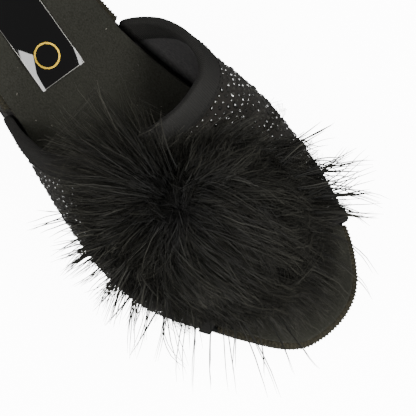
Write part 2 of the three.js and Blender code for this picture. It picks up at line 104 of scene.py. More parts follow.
# %% Driving sizes and tables
SOLE_LENGTH = 240.0
BALL_WIDTH = 85.0
HEEL_RISE = 29.5
TOE_SPRING = 5.0
ARCH_LIFT = 2.5
OUTSOLE = 3.0
BOARD = 5.0
SOCK = 1.0
RIM = 2.0
GAP = 0.3
CROWN_AT_FRONT = 31.5
CROWN_AT_WAIST = 85.5
WALL = 1.6
OVERHANG = 1.0
TUCK_HEIGHT = 19.0
FULLNESS = 0.84
CROWN_ASIDE = 0.03
TOPLINE_WIDTH = 8.5
FRONT_WIDTH = 4.0
RIBBON = 0.6

# along, lateral, medial
SOLE_EDGE = np.array([
    (0.0000, -0.010, 0.010), (0.0140, -0.150, 0.160), (0.0500, -0.255, 0.265), (0.1100, -0.312, 0.322),
    (0.1800, -0.322, 0.337), (0.2700, -0.308, 0.341), (0.3600, -0.302, 0.356), (0.4500, -0.322, 0.408),
    (0.5400, -0.350, 0.490), (0.6300, -0.368, 0.588), (0.7100, -0.362, 0.643), (0.7900, -0.306, 0.668),
    (0.8700, -0.166, 0.652), (0.9300, -0.046, 0.582), (0.9750, 0.060, 0.478), (0.9950, 0.145, 0.360),
    (1.0000, 0.245, 0.255),
])
# along, rise, spring, lift
BED = np.array([
    (0.00, 1.000, 0.00, 0.00), (0.12, 0.980, 0.00, 0.00), (0.25, 0.835, 0.00, 0.00),
    (0.37, 0.590, 0.00, 0.60), (0.46, 0.360, 0.00, 1.00), (0.55, 0.150, 0.00, 0.60),
    (0.64, 0.030, 0.00, 0.00), (0.71, 0.000, 0.00, 0.00), (0.80, 0.000, 0.00, 0.00),
    (0.90, 0.000, 0.27, 0.00), (1.00, 0.000, 1.00, 0.00),
])
# along, lateral bulge, medial bulge, crown
LAST = np.array([
    (0.36, 0.018, 0.046, 1.060), (0.42, 0.024, 0.098, 0.945), (0.48, 0.027, 0.122, 0.822),
    (0.55, 0.024, 0.126, 0.665), (0.62, 0.018, 0.112, 0.495), (0.70, 0.013, 0.078, 0.312),
    (0.78, 0.010, 0.047, 0.158), (0.87, 0.014, 0.018, 0.000), (0.95, 0.014, 0.014, -0.080),
])
# turn round the section in degrees from the medial side, front, back
BAND_EDGE = np.array([
    (0, 0.868, 0.392), (12, 0.869, 0.439), (30, 0.868, 0.494), (48, 0.866, 0.544), (65, 0.864, 0.573),
    (90, 0.863, 0.592), (110, 0.864, 0.586), (130, 0.867, 0.562), (143, 0.870, 0.535),
    (156, 0.874, 0.501), (168, 0.877, 0.457), (180, 0.879, 0.408),
])
print("rows in the tables:", [len(table) for table in (SOLE_EDGE, BED, LAST, BAND_EDGE)])

# %% Curves through the tables


def curve_of(table, column):
    """A smooth curve through one column of a table that never overshoots its rows."""
    places, values = table[:, 0], table[:, column]
    slope = np.diff(values) / np.diff(places)
    tangent = np.concatenate([slope[:1], np.zeros(len(values) - 2), slope[-1:]])
    before, after = slope[:-1], slope[1:]
    turning = before * after <= 0
    total = np.where(turning, 1.0, before + after)
    tangent[1:-1] = np.where(turning, 0.0, 2 * before * after / total)

    def value(place):
        at = np.clip(place, places[0], places[-1])
        i = np.clip(np.searchsorted(places, at, side="right") - 1, 0, len(places) - 2)
        width = places[i + 1] - places[i]
        t = (at - places[i]) / width
        low = (1 + 2 * t) * (1 - t) ** 2 * values[i] + t * t * (3 - 2 * t) * values[i + 1]
        return low + (t * (1 - t) ** 2 * tangent[i] + t * t * (t - 1) * tangent[i + 1]) * width

    return value


def closed_curve(points, steps):
    """A closed centripetal curve through points, as a polyline."""
    pieces = []
    count = len(points)
    share = np.arange(steps)[:, None] / steps
    for i in range(count):
        p0, p1, p2, p3 = (points[(i + k) % count] for k in (-1, 0, 1, 2))
        d0, d1, d2 = (np.linalg.norm(b - a) ** 0.5 for a, b in ((p0, p1), (p1, p2), (p2, p3)))
        m1 = ((p1 - p0) / d0 - (p2 - p0) / (d0 + d1) + (p2 - p1) / d1) * d1
        m2 = ((p2 - p1) / d1 - (p3 - p1) / (d1 + d2) + (p3 - p2) / d2) * d1
        c2, c3 = 3 * (p2 - p1) - 2 * m1 - m2, 2 * (p1 - p2) + m1 + m2
        pieces.append(p1 + share * m1 + share ** 2 * c2 + share ** 3 * c3)
    return np.vstack(pieces)


def run_along(line):
    """The length run at each point of a polyline."""
    return np.concatenate([[0], np.cumsum(np.linalg.norm(np.diff(line, axis=0), axis=1))])


print("crown of the last at half length, as a share:", curve_of(LAST, 3)(0.5).round(3))

# %% The sole's edge, and the heights of its layers
medial_points = SOLE_EDGE[:, [0, 2]] * (SOLE_LENGTH, BALL_WIDTH)
lateral_points = SOLE_EDGE[::-1, [0, 1]] * (SOLE_LENGTH, BALL_WIDTH)
sole_loop = closed_curve(np.vstack([medial_points, lateral_points]), 30)
sole_loop = np.roll(sole_loop, -int(sole_loop[:, 0].argmin()), axis=0)
toe_index = int(sole_loop[:, 0].argmax())
medial_side = sole_loop[: toe_index + 1]
lateral_side = np.vstack([sole_loop[:1], sole_loop[toe_index:][::-1]])
print("sole from", sole_loop.min(0).round(1), "to", sole_loop.max(0).round(1))


def sole_edge(x, side):
    """How far out the sole's edge lies, on the medial side (1) or the lateral one (-1)."""
    edge = medial_side if side > 0 else lateral_side
    return np.interp(x, edge[:, 0], edge[:, 1])


bed_rise, bed_spring, bed_lift = (curve_of(BED, k) for k in (1, 2, 3))


def outsole_bottom(x):
    return ARCH_LIFT * bed_lift(x / SOLE_LENGTH) + TOE_SPRING * bed_spring(x / SOLE_LENGTH)


def board_bottom(x):
    along = x / SOLE_LENGTH
    return OUTSOLE + GAP + HEEL_RISE * bed_rise(along) + TOE_SPRING * bed_spring(along)


def sock_top(x):
    return board_bottom(x) + BOARD + GAP + SOCK


band_front_share, band_back_share = curve_of(BAND_EDGE, 1), curve_of(BAND_EDGE, 2)
lateral_bulge, medial_bulge, crown_share = (curve_of(LAST, k) for k in (1, 2, 3))


def band_front(turn):
    return SOLE_LENGTH * band_front_share(turn)


def band_back(turn):
    return SOLE_LENGTH * band_back_share(turn)


print("band at its crown from", band_back(90.0).round(1), "to", band_front(90.0).round(1))

# %% The upper's outer face, at a place along the shoe and an angle round its section


def unit_of(vectors):
    """Vectors brought to length 1."""
    return vectors / np.linalg.norm(vectors, axis=-1, keepdims=True)


def last_point(x, turn):
    """A point of the last's skin, at a turn from 0 degrees on the medial side to 180 on the lateral one."""
    along = x / SOLE_LENGTH
    is_medial = turn <= 90
    side = np.where(is_medial, 1.0, -1.0)
    bulge_m, bulge_l = BALL_WIDTH * medial_bulge(along), BALL_WIDTH * lateral_bulge(along)
    medial, lateral = sole_edge(x, 1) + bulge_m, sole_edge(x, -1) - bulge_l
    crown_y = (medial + lateral) / 2 + CROWN_ASIDE * BALL_WIDTH
    feather = board_bottom(x)
    crown = CROWN_AT_FRONT + (CROWN_AT_WAIST - CROWN_AT_FRONT) * crown_share(along) - feather
    out = np.abs(np.cos(np.radians(turn))) ** FULLNESS
    rise = crown * np.abs(np.sin(np.radians(turn))) ** FULLNESS
    reach = np.where(is_medial, medial - crown_y, crown_y - lateral)
    bulge = np.where(is_medial, bulge_m, bulge_l)
    tuck = np.maximum(bulge - OVERHANG, 0) * np.clip(1 - rise / TUCK_HEIGHT, 0, 1) ** 2
    return np.stack([x + 0 * turn, crown_y + side * (reach * out - tuck), feather + rise], -1)


def last_normal(x, turn):
    """The way out from the last's skin, from the steps to four points round the place."""
    low = np.clip(turn - 0.5, 0.2, 178.8)
    along_step = last_point(x + 0.5, low + 0.5) - last_point(x - 0.5, low + 0.5)
    turn_step = last_point(x, low + 1) - last_point(x, low)
    return unit_of(np.cross(turn_step, along_step))


def upper_point(x, turn, depth):
    """A point at a distance out from the band's outer face, and never under the board."""
    x, turn, depth = np.broadcast_arrays(*(np.asarray(v, float) for v in (x, turn, depth)))
    point = last_point(x, turn) + last_normal(x, turn) * depth[..., None]
    point[..., 2] = np.maximum(point[..., 2], board_bottom(x))
    return point


def band_face(turn_count, length_count, depth):
    """A grid of points over the whole band, at a distance out from its outer face."""
    turn, share = np.meshgrid(np.linspace(0, 180, turn_count), np.linspace(0, 1, length_count), indexing="ij")
    return upper_point(band_back(turn) + (band_front(turn) - band_back(turn)) * share, turn, depth)


def stretch_at(edge_of, turn):
    """x step along the band that covers one millimetre square to an edge of it."""
    after = np.minimum(turn + 1, 180.0)
    edge_step = unit_of(last_point(edge_of(after), after) - last_point(edge_of(after - 1), after - 1))
    forward = last_point(edge_of(turn) + 1, turn) - last_point(edge_of(turn), turn)
    return 1 / np.linalg.norm(np.cross(forward, edge_step), axis=-1)


top_of_throat = last_point(band_back(90.0), np.float64(90.0))
print("top of the band's back edge, mm:", top_of_throat.round(1))

# %% [markdown]
# ## Helpers for node trees, colours and meshes
#
# One small function adds a node with its settings and links, for materials and for Geometry Nodes
# alike. Colours are written as sRGB hex values, as a paint chart gives them, and one function turns
# them to the linear values that Blender's shaders need.

# %% Colour and node helpers


def linear(hex_colour):
    """An sRGB hex colour as the linear values that a shader reads."""
    parts = [int(hex_colour[i : i + 2], 16) / 255 for i in (1, 3, 5)]
    return tuple(c / 12.92 if c <= 0.04045 else ((c + 0.055) / 1.055) ** 2.4 for c in parts) + (1.0,)


def add(tree, kind, inputs=None, **settings):
    """Adds a node with its settings, and with its inputs by name or number, each a value or a link."""
    node = tree.nodes.new(kind)
    for name, value in settings.items():
        setattr(node, name, value)
    for key, value in (inputs or {}).items():
        if isinstance(key, int):
            socket = node.inputs[key]
        else:
            socket = next(s for s in node.inputs if s.name == key and s.enabled)
        if isinstance(value, bpy.types.NodeSocket):
            tree.links.new(value, socket)
        else:
            socket.default_value = value
    return node


def out(node, name=None):
    """The output of a node that is in use, by its name where it has several."""
    return next(s for s in node.outputs if s.enabled and name in (None, s.name))


def new_material(name, **shader_values):
    """A Principled material, with values for its inputs, and an underscore for each space."""
    material = bpy.data.materials.new(name)
    material.use_nodes = True
    tree = material.node_tree
    shader = tree.nodes["Principled BSDF"]
    for key, value in shader_values.items():
        shader.inputs[key.replace("_", " ")].default_value = value
    return material, tree, shader


print("mid grey as linear light:", round(linear("#808080")[0], 3))

# %% Pieces from points


def in_scene(name, data):
    """An object for a mesh, a light or a camera."""
    thing = bpy.data.objects.new(name, data)
    bpy.context.scene.collection.objects.link(thing)
    return thing


def mesh_piece(name, points, faces, materials, face_slots=None, attributes=None, crease=40.0):
    """A mesh from points in heel millimetres, with its place in its vertices."""
    mesh = bpy.data.meshes.new(name)
    mesh.from_pydata(to_frame(points).tolist(), [], faces)
    for material in materials:
        mesh.materials.append(material)
    if face_slots is not None:
        mesh.polygons.foreach_set("material_index", np.asarray(face_slots, np.int32))
    for key, values in (attributes or {}).items():
        layer = mesh.attributes.new(key, "FLOAT", "POINT")
        layer.data.foreach_set("value", np.asarray(values, np.float32))
    mesh.shade_smooth()
    mesh.set_sharp_from_angle(angle=math.radians(crease))
    mesh.update()
    return in_scene(name, mesh)


def point_cloud(name, places, normals, forwards, radii, tones, material):
    """A piece of loose points that a tree turns into stones or threads."""
    z_axis = unit_of(normals)
    x_axis = unit_of(forwards - (forwards * z_axis).sum(1, keepdims=True) * z_axis)
    y_axis = np.cross(z_axis, x_axis)
    facing = [Matrix(np.stack(axes, 1).tolist()).to_euler() for axes in zip(x_axis, y_axis, z_axis)]
    piece = mesh_piece(name, places, [], [material], attributes={"radius": radii, "tone": tones})
    layer_of_turns = piece.data.attributes.new("facing", "FLOAT_VECTOR", "POINT")
    layer_of_turns.data.foreach_set("vector", np.array(facing, np.float32).ravel())
    return piece


def settle(piece, slot, *nodes):
    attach(piece, "root")
    if nodes:
        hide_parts(*nodes)
    triangles = sum(len(p.vertices) - 2 for p in piece.data.polygons)
    print(f"{piece.name}: {triangles} triangles")


# %% Skins from grids of points


def grid_faces(rows, columns, closed_rows=False, closed_columns=False, start=0):
    """Quads of a grid of points that is numbered row by row."""
    faces = []
    for i in range(rows if closed_rows else rows - 1):
        for j in range(columns if closed_columns else columns - 1):
            a = start + i * columns + j
            b = start + i * columns + (j + 1) % columns
            c = start + ((i + 1) % rows) * columns + (j + 1) % columns
            d = start + ((i + 1) % rows) * columns + j
            faces.append((a, b, c, d))
    return faces


def rim_of(rows, columns):
    """Numbers of a grid's border, once round."""
    first = [i * columns for i in range(rows)]
    last = [(rows - 1) * columns + j for j in range(1, columns)]
    back = [i * columns + columns - 1 for i in range(rows - 2, -1, -1)]
    return first + last + back + list(range(columns - 2, 0, -1))


def shell_of(low, high, walls=()):
    """Points and faces of a closed skin between a low grid and a high grid, through rings between them."""
    rows, columns = low.shape[:2]
    count = rows * columns
    rim = rim_of(rows, columns)
    points = [low.reshape(-1, 3), high.reshape(-1, 3)]
    loops = [rim]
    for k, wall in enumerate(walls):
        points.append(wall.reshape(-1, 3)[rim])
        loops.append(list(range(2 * count + k * len(rim), 2 * count + (k + 1) * len(rim))))
    loops.append([count + i for i in rim])
    faces = [f[::-1] for f in grid_faces(rows, columns, start=count)] + grid_faces(rows, columns)
    for below, above in zip(loops, loops[1:]):
        for i in range(len(rim)):
            n = (i + 1) % len(rim)
            faces.append((below[i], below[n], above[n], above[i]))
    return np.vstack(points), faces


print("a plate of 2 by 2 points has", len(shell_of(np.zeros((2, 2, 3)), np.ones((2, 2, 3)))[1]), "faces")

# %% [markdown]
# ## The camera
#
# The photograph looks down on the shoe from about 11 degrees off the vertical, with the toe at the
# lower right and the heel past the upper left corner. The camera is set up first, so that pieces which
# were read off the photograph, such as the long stray hairs, can be placed along its lines of sight.

# %% Camera at the photograph's angle
IMAGE = 416
FOCAL_PIXELS = 1912.5
SENSOR = 36.0
camera_place = np.array([243.654, -110.521, 748.968])
camera_right = np.array([0.612351, 0.787023, 0.074979])
camera_down = np.array([0.784876, -0.593810, -0.177085])
camera_forward = np.cross(camera_right, camera_down)

camera_data = bpy.data.cameras.new("photo_camera")
camera_data.sensor_width = SENSOR
camera_data.lens = FOCAL_PIXELS * SENSOR / IMAGE
camera_data.clip_end = 10.0
camera = in_scene("photo_camera", camera_data)
basis = Matrix.Identity(4)
for column, axis in enumerate((camera_right, -camera_down, -camera_forward, to_frame(camera_place))):
    for line in range(3):
        basis[line][column] = float(axis[line])
camera.matrix_world = basis
bpy.context.scene.camera = camera
print("lens, mm:", round(camera_data.lens, 1))


def on_level(px, py, z):
    """Where the line of sight through a pixel meets a height, in heel millimetres."""
    ray = camera_forward + (px - IMAGE / 2) / FOCAL_PIXELS * camera_right
    ray = ray + (py - IMAGE / 2) / FOCAL_PIXELS * camera_down
    return camera_place + ray * (z - camera_place[2]) / ray[2]


# %% [markdown]
# ## The finishes
#
# Almost everything on this shoe is black, so the finishes differ in their sheen and grain more than in
# their colour. Each pattern's scale comes from a real size: object coordinates are in metres, so a
# noise scale of 1000 gives a grain of about a millimetre.

# %% Woven, suede, leather and rubber finishes


def speckle(tree, shader, place, scale, detail, colours, stops):
    """Colours a shader between two hex colours by a noise, and returns the noise."""
    specks = add(tree, "ShaderNodeTexNoise", {"Vector": place, "Scale": scale, "Detail": detail})
    ramp = add(tree, "ShaderNodeValToRGB", {"Fac": specks.outputs["Fac"]})
    for element, colour, stop in zip(ramp.color_ramp.elements, colours, stops):
        element.position = stop
        element.color = linear(colour)
    tree.links.new(ramp.outputs["Color"], shader.inputs["Base Color"])
    return specks.outputs["Fac"]


def grain(name, dark, light, size_mm, bump_mm, stretch=(1, 1, 1), detail=3.0, **shader_values):
    """A matt finish whose colour and height follow one noise of a real grain size."""
    material, tree, shader = new_material(name, **shader_values)
    place = add(tree, "ShaderNodeTexCoord").outputs["Object"]
    turned = add(tree, "ShaderNodeMapping", {"Vector": place, "Scale": stretch}).outputs["Vector"]
    specks = speckle(tree, shader, turned, 1 / (size_mm * MM), detail, (dark, light), (0.32, 0.7))
    bump = add(tree, "ShaderNodeBump", {"Height": specks, "Distance": bump_mm * MM})
    tree.links.new(bump.outputs["Normal"], shader.inputs["Normal"])
    return material


# Microsuede: a short nap of fine fibres, brushed along the sock, which takes light at grazing angles.
microsuede = grain("microsuede", "#1b1b16", "#292924", 0.45, 0.05, stretch=(0.6, 1, 1), detail=5.0,
                   Roughness=0.95, Sheen_Weight=0.12, Sheen_Roughness=0.4, Specular_IOR_Level=0.12)
# Twill with a brownish cast under the stones.
band_twill = grain("band_twill", "#0f0e0c", "#211e1a", 0.35, 0.08,
                   Roughness=0.85, Sheen_Weight=0.06, Specular_IOR_Level=0.15)
# Satin lining: smooth, bluish black, with a faint lengthways thread.
satin_lining = grain("satin_lining", "#242324", "#333231", 0.5, 0.02, stretch=(0.15, 1, 1),
                     Roughness=0.6, Sheen_Weight=0.05, Specular_IOR_Level=0.2)
# Grosgrain: a ribbed ribbon whose ribs are real geometry here, so the grain is only its thread.
grosgrain = grain("grosgrain", "#121211", "#21201e", 0.3, 0.03,
                  Roughness=0.75, Sheen_Weight=0.02, Specular_IOR_Level=0.12)
# The cloth that is wrapped round the sole's edge has an olive tint in patches, spread by a noise over the
# whole rim.
rim_cloth = grain("rim_cloth", "#171610", "#2e2b20", 0.9, 0.06,
                  Roughness=0.9, Sheen_Weight=0.05, Specular_IOR_Level=0.15)
# Grained synthetic leather round the wedge.
wedge_leather = grain("wedge_leather", "#151413", "#262423", 0.8, 0.09, detail=6.0,
                      Roughness=0.55, Specular_IOR_Level=0.45)
# Rubber sheet: matt, with a fine moulded grain and a little dust.
rubber_sheet = grain("rubber_sheet", "#1a1a1a", "#2a2a29", 1.2, 0.05,
                     Roughness=0.75, Specular_IOR_Level=0.4)
# Lint from the box and the nap, pale and matt.
cotton_lint = grain("cotton_lint", "#57544c", "#8a867c", 0.2, 0.01, Roughness=0.95)
print("cloth, leather and rubber:", [material.name for material in bpy.data.materials])

# %% Foils

# Hot-stamped foil on the label: a mirror-gloss black film with an orange peel about 4 mm across.
PEEL_PER_METRE = 260.0
PEEL_DEPTH = 0.06
black_foil, foil_tree, foil_shader = new_material(
    "black_foil", Base_Color=linear("#040404"), Roughness=0.09, Specular_IOR_Level=0.0, Coat_Weight=1.0,
    Coat_Roughness=0.03, Coat_IOR=1.5)
foil_place = add(foil_tree, "ShaderNodeTexCoord").outputs["Object"]
orange_peel = add(foil_tree, "ShaderNodeTexNoise", {
    "Vector": foil_place, "Scale": PEEL_PER_METRE, "Detail": 1.0})
foil_bump = add(foil_tree, "ShaderNodeBump", {
    "Height": orange_peel.outputs["Fac"], "Distance": PEEL_DEPTH * MM})
foil_tree.links.new(foil_bump.outputs["Normal"], foil_shader.inputs["Normal"])


def foil_line(name, dark, light, specks_per_metre, **shader_values):
    """A stamped metal foil, a little uneven in its tone."""
    material, tree, shader = new_material(name, **shader_values)
    place = add(tree, "ShaderNodeTexCoord").outputs["Object"]
    speckle(tree, shader, place, specks_per_metre, 3.0, (dark, light), (0.0, 1.0))
    return material


# Gold foil for the ring, and dull silver for the line round the label's edge.
gold_foil = foil_line("gold_foil", "#8f7622", "#d3ae3c", 900.0, Metallic=1.0, Roughness=0.32)
silver_foil = foil_line("silver_foil", "#4e4e4b", "#7c7a75", 700.0, Metallic=0.9, Roughness=0.35)
print("orange peel, mm across:", round(1 / (PEEL_PER_METRE * MM), 1))

# %% Stones and down

# Hematite-coloured glass: foil-backed stones, near black with small hard reflections.
hematite, stone_tree, stone_shader = new_material("hematite_glass", Metallic=0.15, Roughness=0.1, IOR=1.75)
stone_tone = add(stone_tree, "ShaderNodeAttribute", attribute_name="tone").outputs["Fac"]
stone_ramp = add(stone_tree, "ShaderNodeValToRGB", {"Fac": stone_tone})
for element, colour in zip(stone_ramp.color_ramp.elements, ("#0b0b09", "#2b2a25")):
    element.color = linear(colour)
stone_tree.links.new(stone_ramp.outputs["Color"], stone_shader.inputs["Base Color"])

# Marabou: dyed down. The barbs' roots are darkest, and their tips fade to a warm grey. Most barbs are
# near black, and every second one or so is lighter, which lets single hairs be told apart.
marabou, down_tree, down_shader = new_material("marabou_down", Roughness=0.6, Specular_IOR_Level=0.16)
barb_along = add(down_tree, "ShaderNodeAttribute", attribute_name="along").outputs["Fac"]
barb_shade = add(down_tree, "ShaderNodeAttribute", attribute_name="shade").outputs["Fac"]
barb_ramp = add(down_tree, "ShaderNodeValToRGB", {"Fac": barb_shade})
barb_ramp.color_ramp.elements[0].color = linear("#1d1c18")
barb_ramp.color_ramp.elements[0].position = 0.45
barb_ramp.color_ramp.elements[1].color = linear("#403f38")
down_colour = add(down_tree, "ShaderNodeMix", {
    "Factor": barb_along, "A": linear("#0a0a08"), "B": out(barb_ramp, "Color")}, data_type="RGBA")
# At the knot, which the photograph shows at this pixel, the barbs lie deep in each other's shade, and that
# shade is painted into the down's colour: a quarter as bright within 4 mm of the knot, and full again at 19
# mm.
KNOT_PIXEL = (174, 205)
KNOT_HEIGHT = 67.0
down_place = add(down_tree, "ShaderNodeTexCoord").outputs["Object"]
knot_at = tuple(float(v) for v in to_frame(on_level(*KNOT_PIXEL, KNOT_HEIGHT)))
from_knot = add(down_tree, "ShaderNodeVectorMath", {0: down_place, 1: knot_at}, operation="DISTANCE")
painted_knot_shade = add(down_tree, "ShaderNodeMapRange", {
    "Value": out(from_knot, "Value"), "From Min": 4 * MM, "From Max": 19 * MM, "To Min": 0.25, "To Max": 1.0})
down_with_painted_shade = add(down_tree, "ShaderNodeVectorMath", {0: out(down_colour), "Scale": out(painted_knot_shade)},
                  operation="SCALE")
down_tree.links.new(out(down_with_painted_shade), down_shader.inputs["Base Color"])

print("finishes:", len(bpy.data.materials))

# %% [markdown]
# ## Geometry Nodes for what repeats
#
# A few small trees do the repeated work. One raises ribs across a strip of cloth by the length that is
# run along it. Two set a small shape on each point of a cloud: a cut stone, or a short thread for a
# stitch or a speck of lint. The last copies guide lines many times over and turns them to barbs, flat
# for fluff and round for single hairs. Each has named inputs, and its result is turned to a plain mesh
# at once, because the finished model can't hold a live tree.

# %% The tools for building and running a tree


def new_tree(name, **sockets):
    """A tree that takes and gives geometry, with named inputs for its sizes and its material."""
    tree = bpy.data.node_groups.new(name, "GeometryNodeTree")
    tree.interface.new_socket(name="Geometry", in_out="INPUT", socket_type="NodeSocketGeometry")
    for key, kind in sockets.items():
        tree.interface.new_socket(name=key.replace("_", " "), in_out="INPUT", socket_type=f"NodeSocket{kind}")
    tree.interface.new_socket(name="Geometry", in_out="OUTPUT", socket_type="NodeSocketGeometry")
    return tree, tree.nodes.new("NodeGroupInput")


def end_tree(tree, geometry, given):
    """Turns instances to real geometry and paints it."""
    realized = add(tree, "GeometryNodeRealizeInstances", {"Geometry": geometry})
    painted = add(tree, "GeometryNodeSetMaterial", {
        "Geometry": out(realized), "Material": out(given, "Material")})
    add(tree, "NodeGroupOutput", {"Geometry": out(painted)})


def run_tree(piece, tree, **values):
    """Runs a tree on a piece and keeps the result as its plain mesh."""
    modifier = piece.modifiers.new(tree.name, "NODES")
    modifier.node_group = tree
    for item in tree.interface.items_tree:
        key = item.name.replace(" ", "_")
        if item.in_out == "INPUT" and key in values:
            modifier[item.identifier] = values[key]
    depsgraph = bpy.context.evaluated_depsgraph_get()
    result = bpy.data.meshes.new_from_object(
        piece.evaluated_get(depsgraph), preserve_all_data_layers=True, depsgraph=depsgraph)
    piece.modifiers.remove(modifier)
    piece.data = result
    return piece


print("Blender", bpy.app.version_string)

# %% Ribs across a strip, by the attribute "run" in millimetres
rib_tree, rib_in = new_tree("ribbed_cloth", Pitch="Float", Height="Float", Material="Material")
run = add(rib_tree, "GeometryNodeInputNamedAttribute", {"Name": "run"}, data_type="FLOAT")
amount = add(rib_tree, "GeometryNodeInputNamedAttribute", {"Name": "rib"}, data_type="FLOAT")
# the height is |sin(pi run / pitch)| times the rib's full height and the amount at that point
height = out(run, "Attribute")
for operation, factor in (("DIVIDE", out(rib_in, "Pitch")), ("MULTIPLY", math.pi), ("SINE", 0.0),
                          ("ABSOLUTE", 0.0), ("MULTIPLY", out(rib_in, "Height")),
                          ("MULTIPLY", out(amount, "Attribute"))):
    height = out(add(rib_tree, "ShaderNodeMath", {0: height, 1: factor}, operation=operation))
outwards = add(rib_tree, "GeometryNodeInputNormal")
lift = add(rib_tree, "ShaderNodeVectorMath", {0: out(outwards, "Normal"), "Scale": height}, operation="SCALE")
moved = add(rib_tree, "GeometryNodeSetPosition", {"Geometry": out(rib_in, "Geometry"), "Offset": out(lift)})
end_tree(rib_tree, out(moved), rib_in)
print("nodes for ribs:", len(rib_tree.nodes))

# %% Small cut stones, one on each point


def set_on_points(tree, given, shape):
    """Sets a shape on each point of a cloud, by its attributes "radius" and "facing"."""
    size = add(tree, "GeometryNodeInputNamedAttribute", {"Name": "radius"}, data_type="FLOAT")
    facing = add(tree, "GeometryNodeInputNamedAttribute", {"Name": "facing"}, data_type="FLOAT_VECTOR")
    turn = add(tree, "FunctionNodeEulerToRotation", {"Euler": out(facing, "Attribute")})
    return add(tree, "GeometryNodeInstanceOnPoints", {
        "Points": out(given, "Geometry"), "Instance": out(shape), "Rotation": out(turn),
        "Scale": out(size, "Attribute")})


stone_set, stone_in = new_tree("set_stones", Facets="Int", Material="Material")
# from the cloth up, as shares of a stone's radius: lower and upper radius and height of each ring of facets
FACET_RINGS = [(1.0, 0.82, 0.3), (0.82, 0.62, 0.17), (0.62, 0.33, 0.105)]
joined = add(stone_set, "GeometryNodeJoinGeometry")
ring_floor = 0.0
for low_radius, high_radius, ring_height in FACET_RINGS:
    ring = add(stone_set, "GeometryNodeMeshCone", {
        "Vertices": out(stone_in, "Facets"), "Radius Top": high_radius, "Radius Bottom": low_radius,
        "Depth": ring_height}, fill_type="NONE")
    raised = add(stone_set, "GeometryNodeTransform", {
        "Geometry": out(ring, "Mesh"), "Translation": (0, 0, ring_floor)})
    stone_set.links.new(out(raised), joined.inputs[0])
    ring_floor += ring_height
table_facet = add(stone_set, "GeometryNodeMeshCircle", {
    "Vertices": out(stone_in, "Facets"), "Radius": FACET_RINGS[-1][1]}, fill_type="NGON")
raised = add(stone_set, "GeometryNodeTransform", {
    "Geometry": out(table_facet), "Translation": (0, 0, ring_floor)})
stone_set.links.new(out(raised), joined.inputs[0])
foot = add(stone_set, "GeometryNodeMeshCircle", {
    "Vertices": out(stone_in, "Facets"), "Radius": FACET_RINGS[0][0]}, fill_type="NGON")
stone_set.links.new(out(add(stone_set, "GeometryNodeFlipFaces", {"Mesh": out(foot)})), joined.inputs[0])
stone = add(stone_set, "GeometryNodeMergeByDistance", {"Geometry": out(joined), "Distance": 0.001})
end_tree(stone_set, out(set_on_points(stone_set, stone_in, stone)), stone_in)
print("nodes for stones:", len(stone_set.nodes))

# %% Short threads, one on each point
thread_set, thread_in = new_tree("set_threads", Length="Float", Thickness="Float", Material="Material")
ends = {}
for key, axis, share in (("Start", "X", -0.5), ("Middle", "Z", 0.35), ("End", "X", 0.5)):
    reach = add(thread_set, "ShaderNodeMath", {0: out(thread_in, "Length"), 1: share}, operation="MULTIPLY")
    ends[key] = out(add(thread_set, "ShaderNodeCombineXYZ", {axis: out(reach)}))
stitch_line = add(thread_set, "GeometryNodeCurveQuadraticBezier", {"Resolution": 6, **ends})
thread_ring = add(thread_set, "GeometryNodeCurvePrimitiveCircle", {
    "Resolution": 5, "Radius": out(thread_in, "Thickness")})
stitch = add(thread_set, "GeometryNodeCurveToMesh", {
    "Curve": out(stitch_line), "Profile Curve": out(thread_ring), "Fill Caps": True})
sewn = add(thread_set, "GeometryNodeRealizeInstances", {
    "Geometry": out(set_on_points(thread_set, thread_in, stitch))})
end_tree(thread_set, out(add(thread_set, "GeometryNodeSetShadeSmooth", {"Geometry": out(sewn)})), thread_in)
print("nodes for threads:", len(thread_set.nodes))

# %% Barbs of down, copied from guide lines
# the width of a barb's tip in millimetres, where it fades out
BARB_TIP = 0.1
WAVES_PER_METRE = 95.0


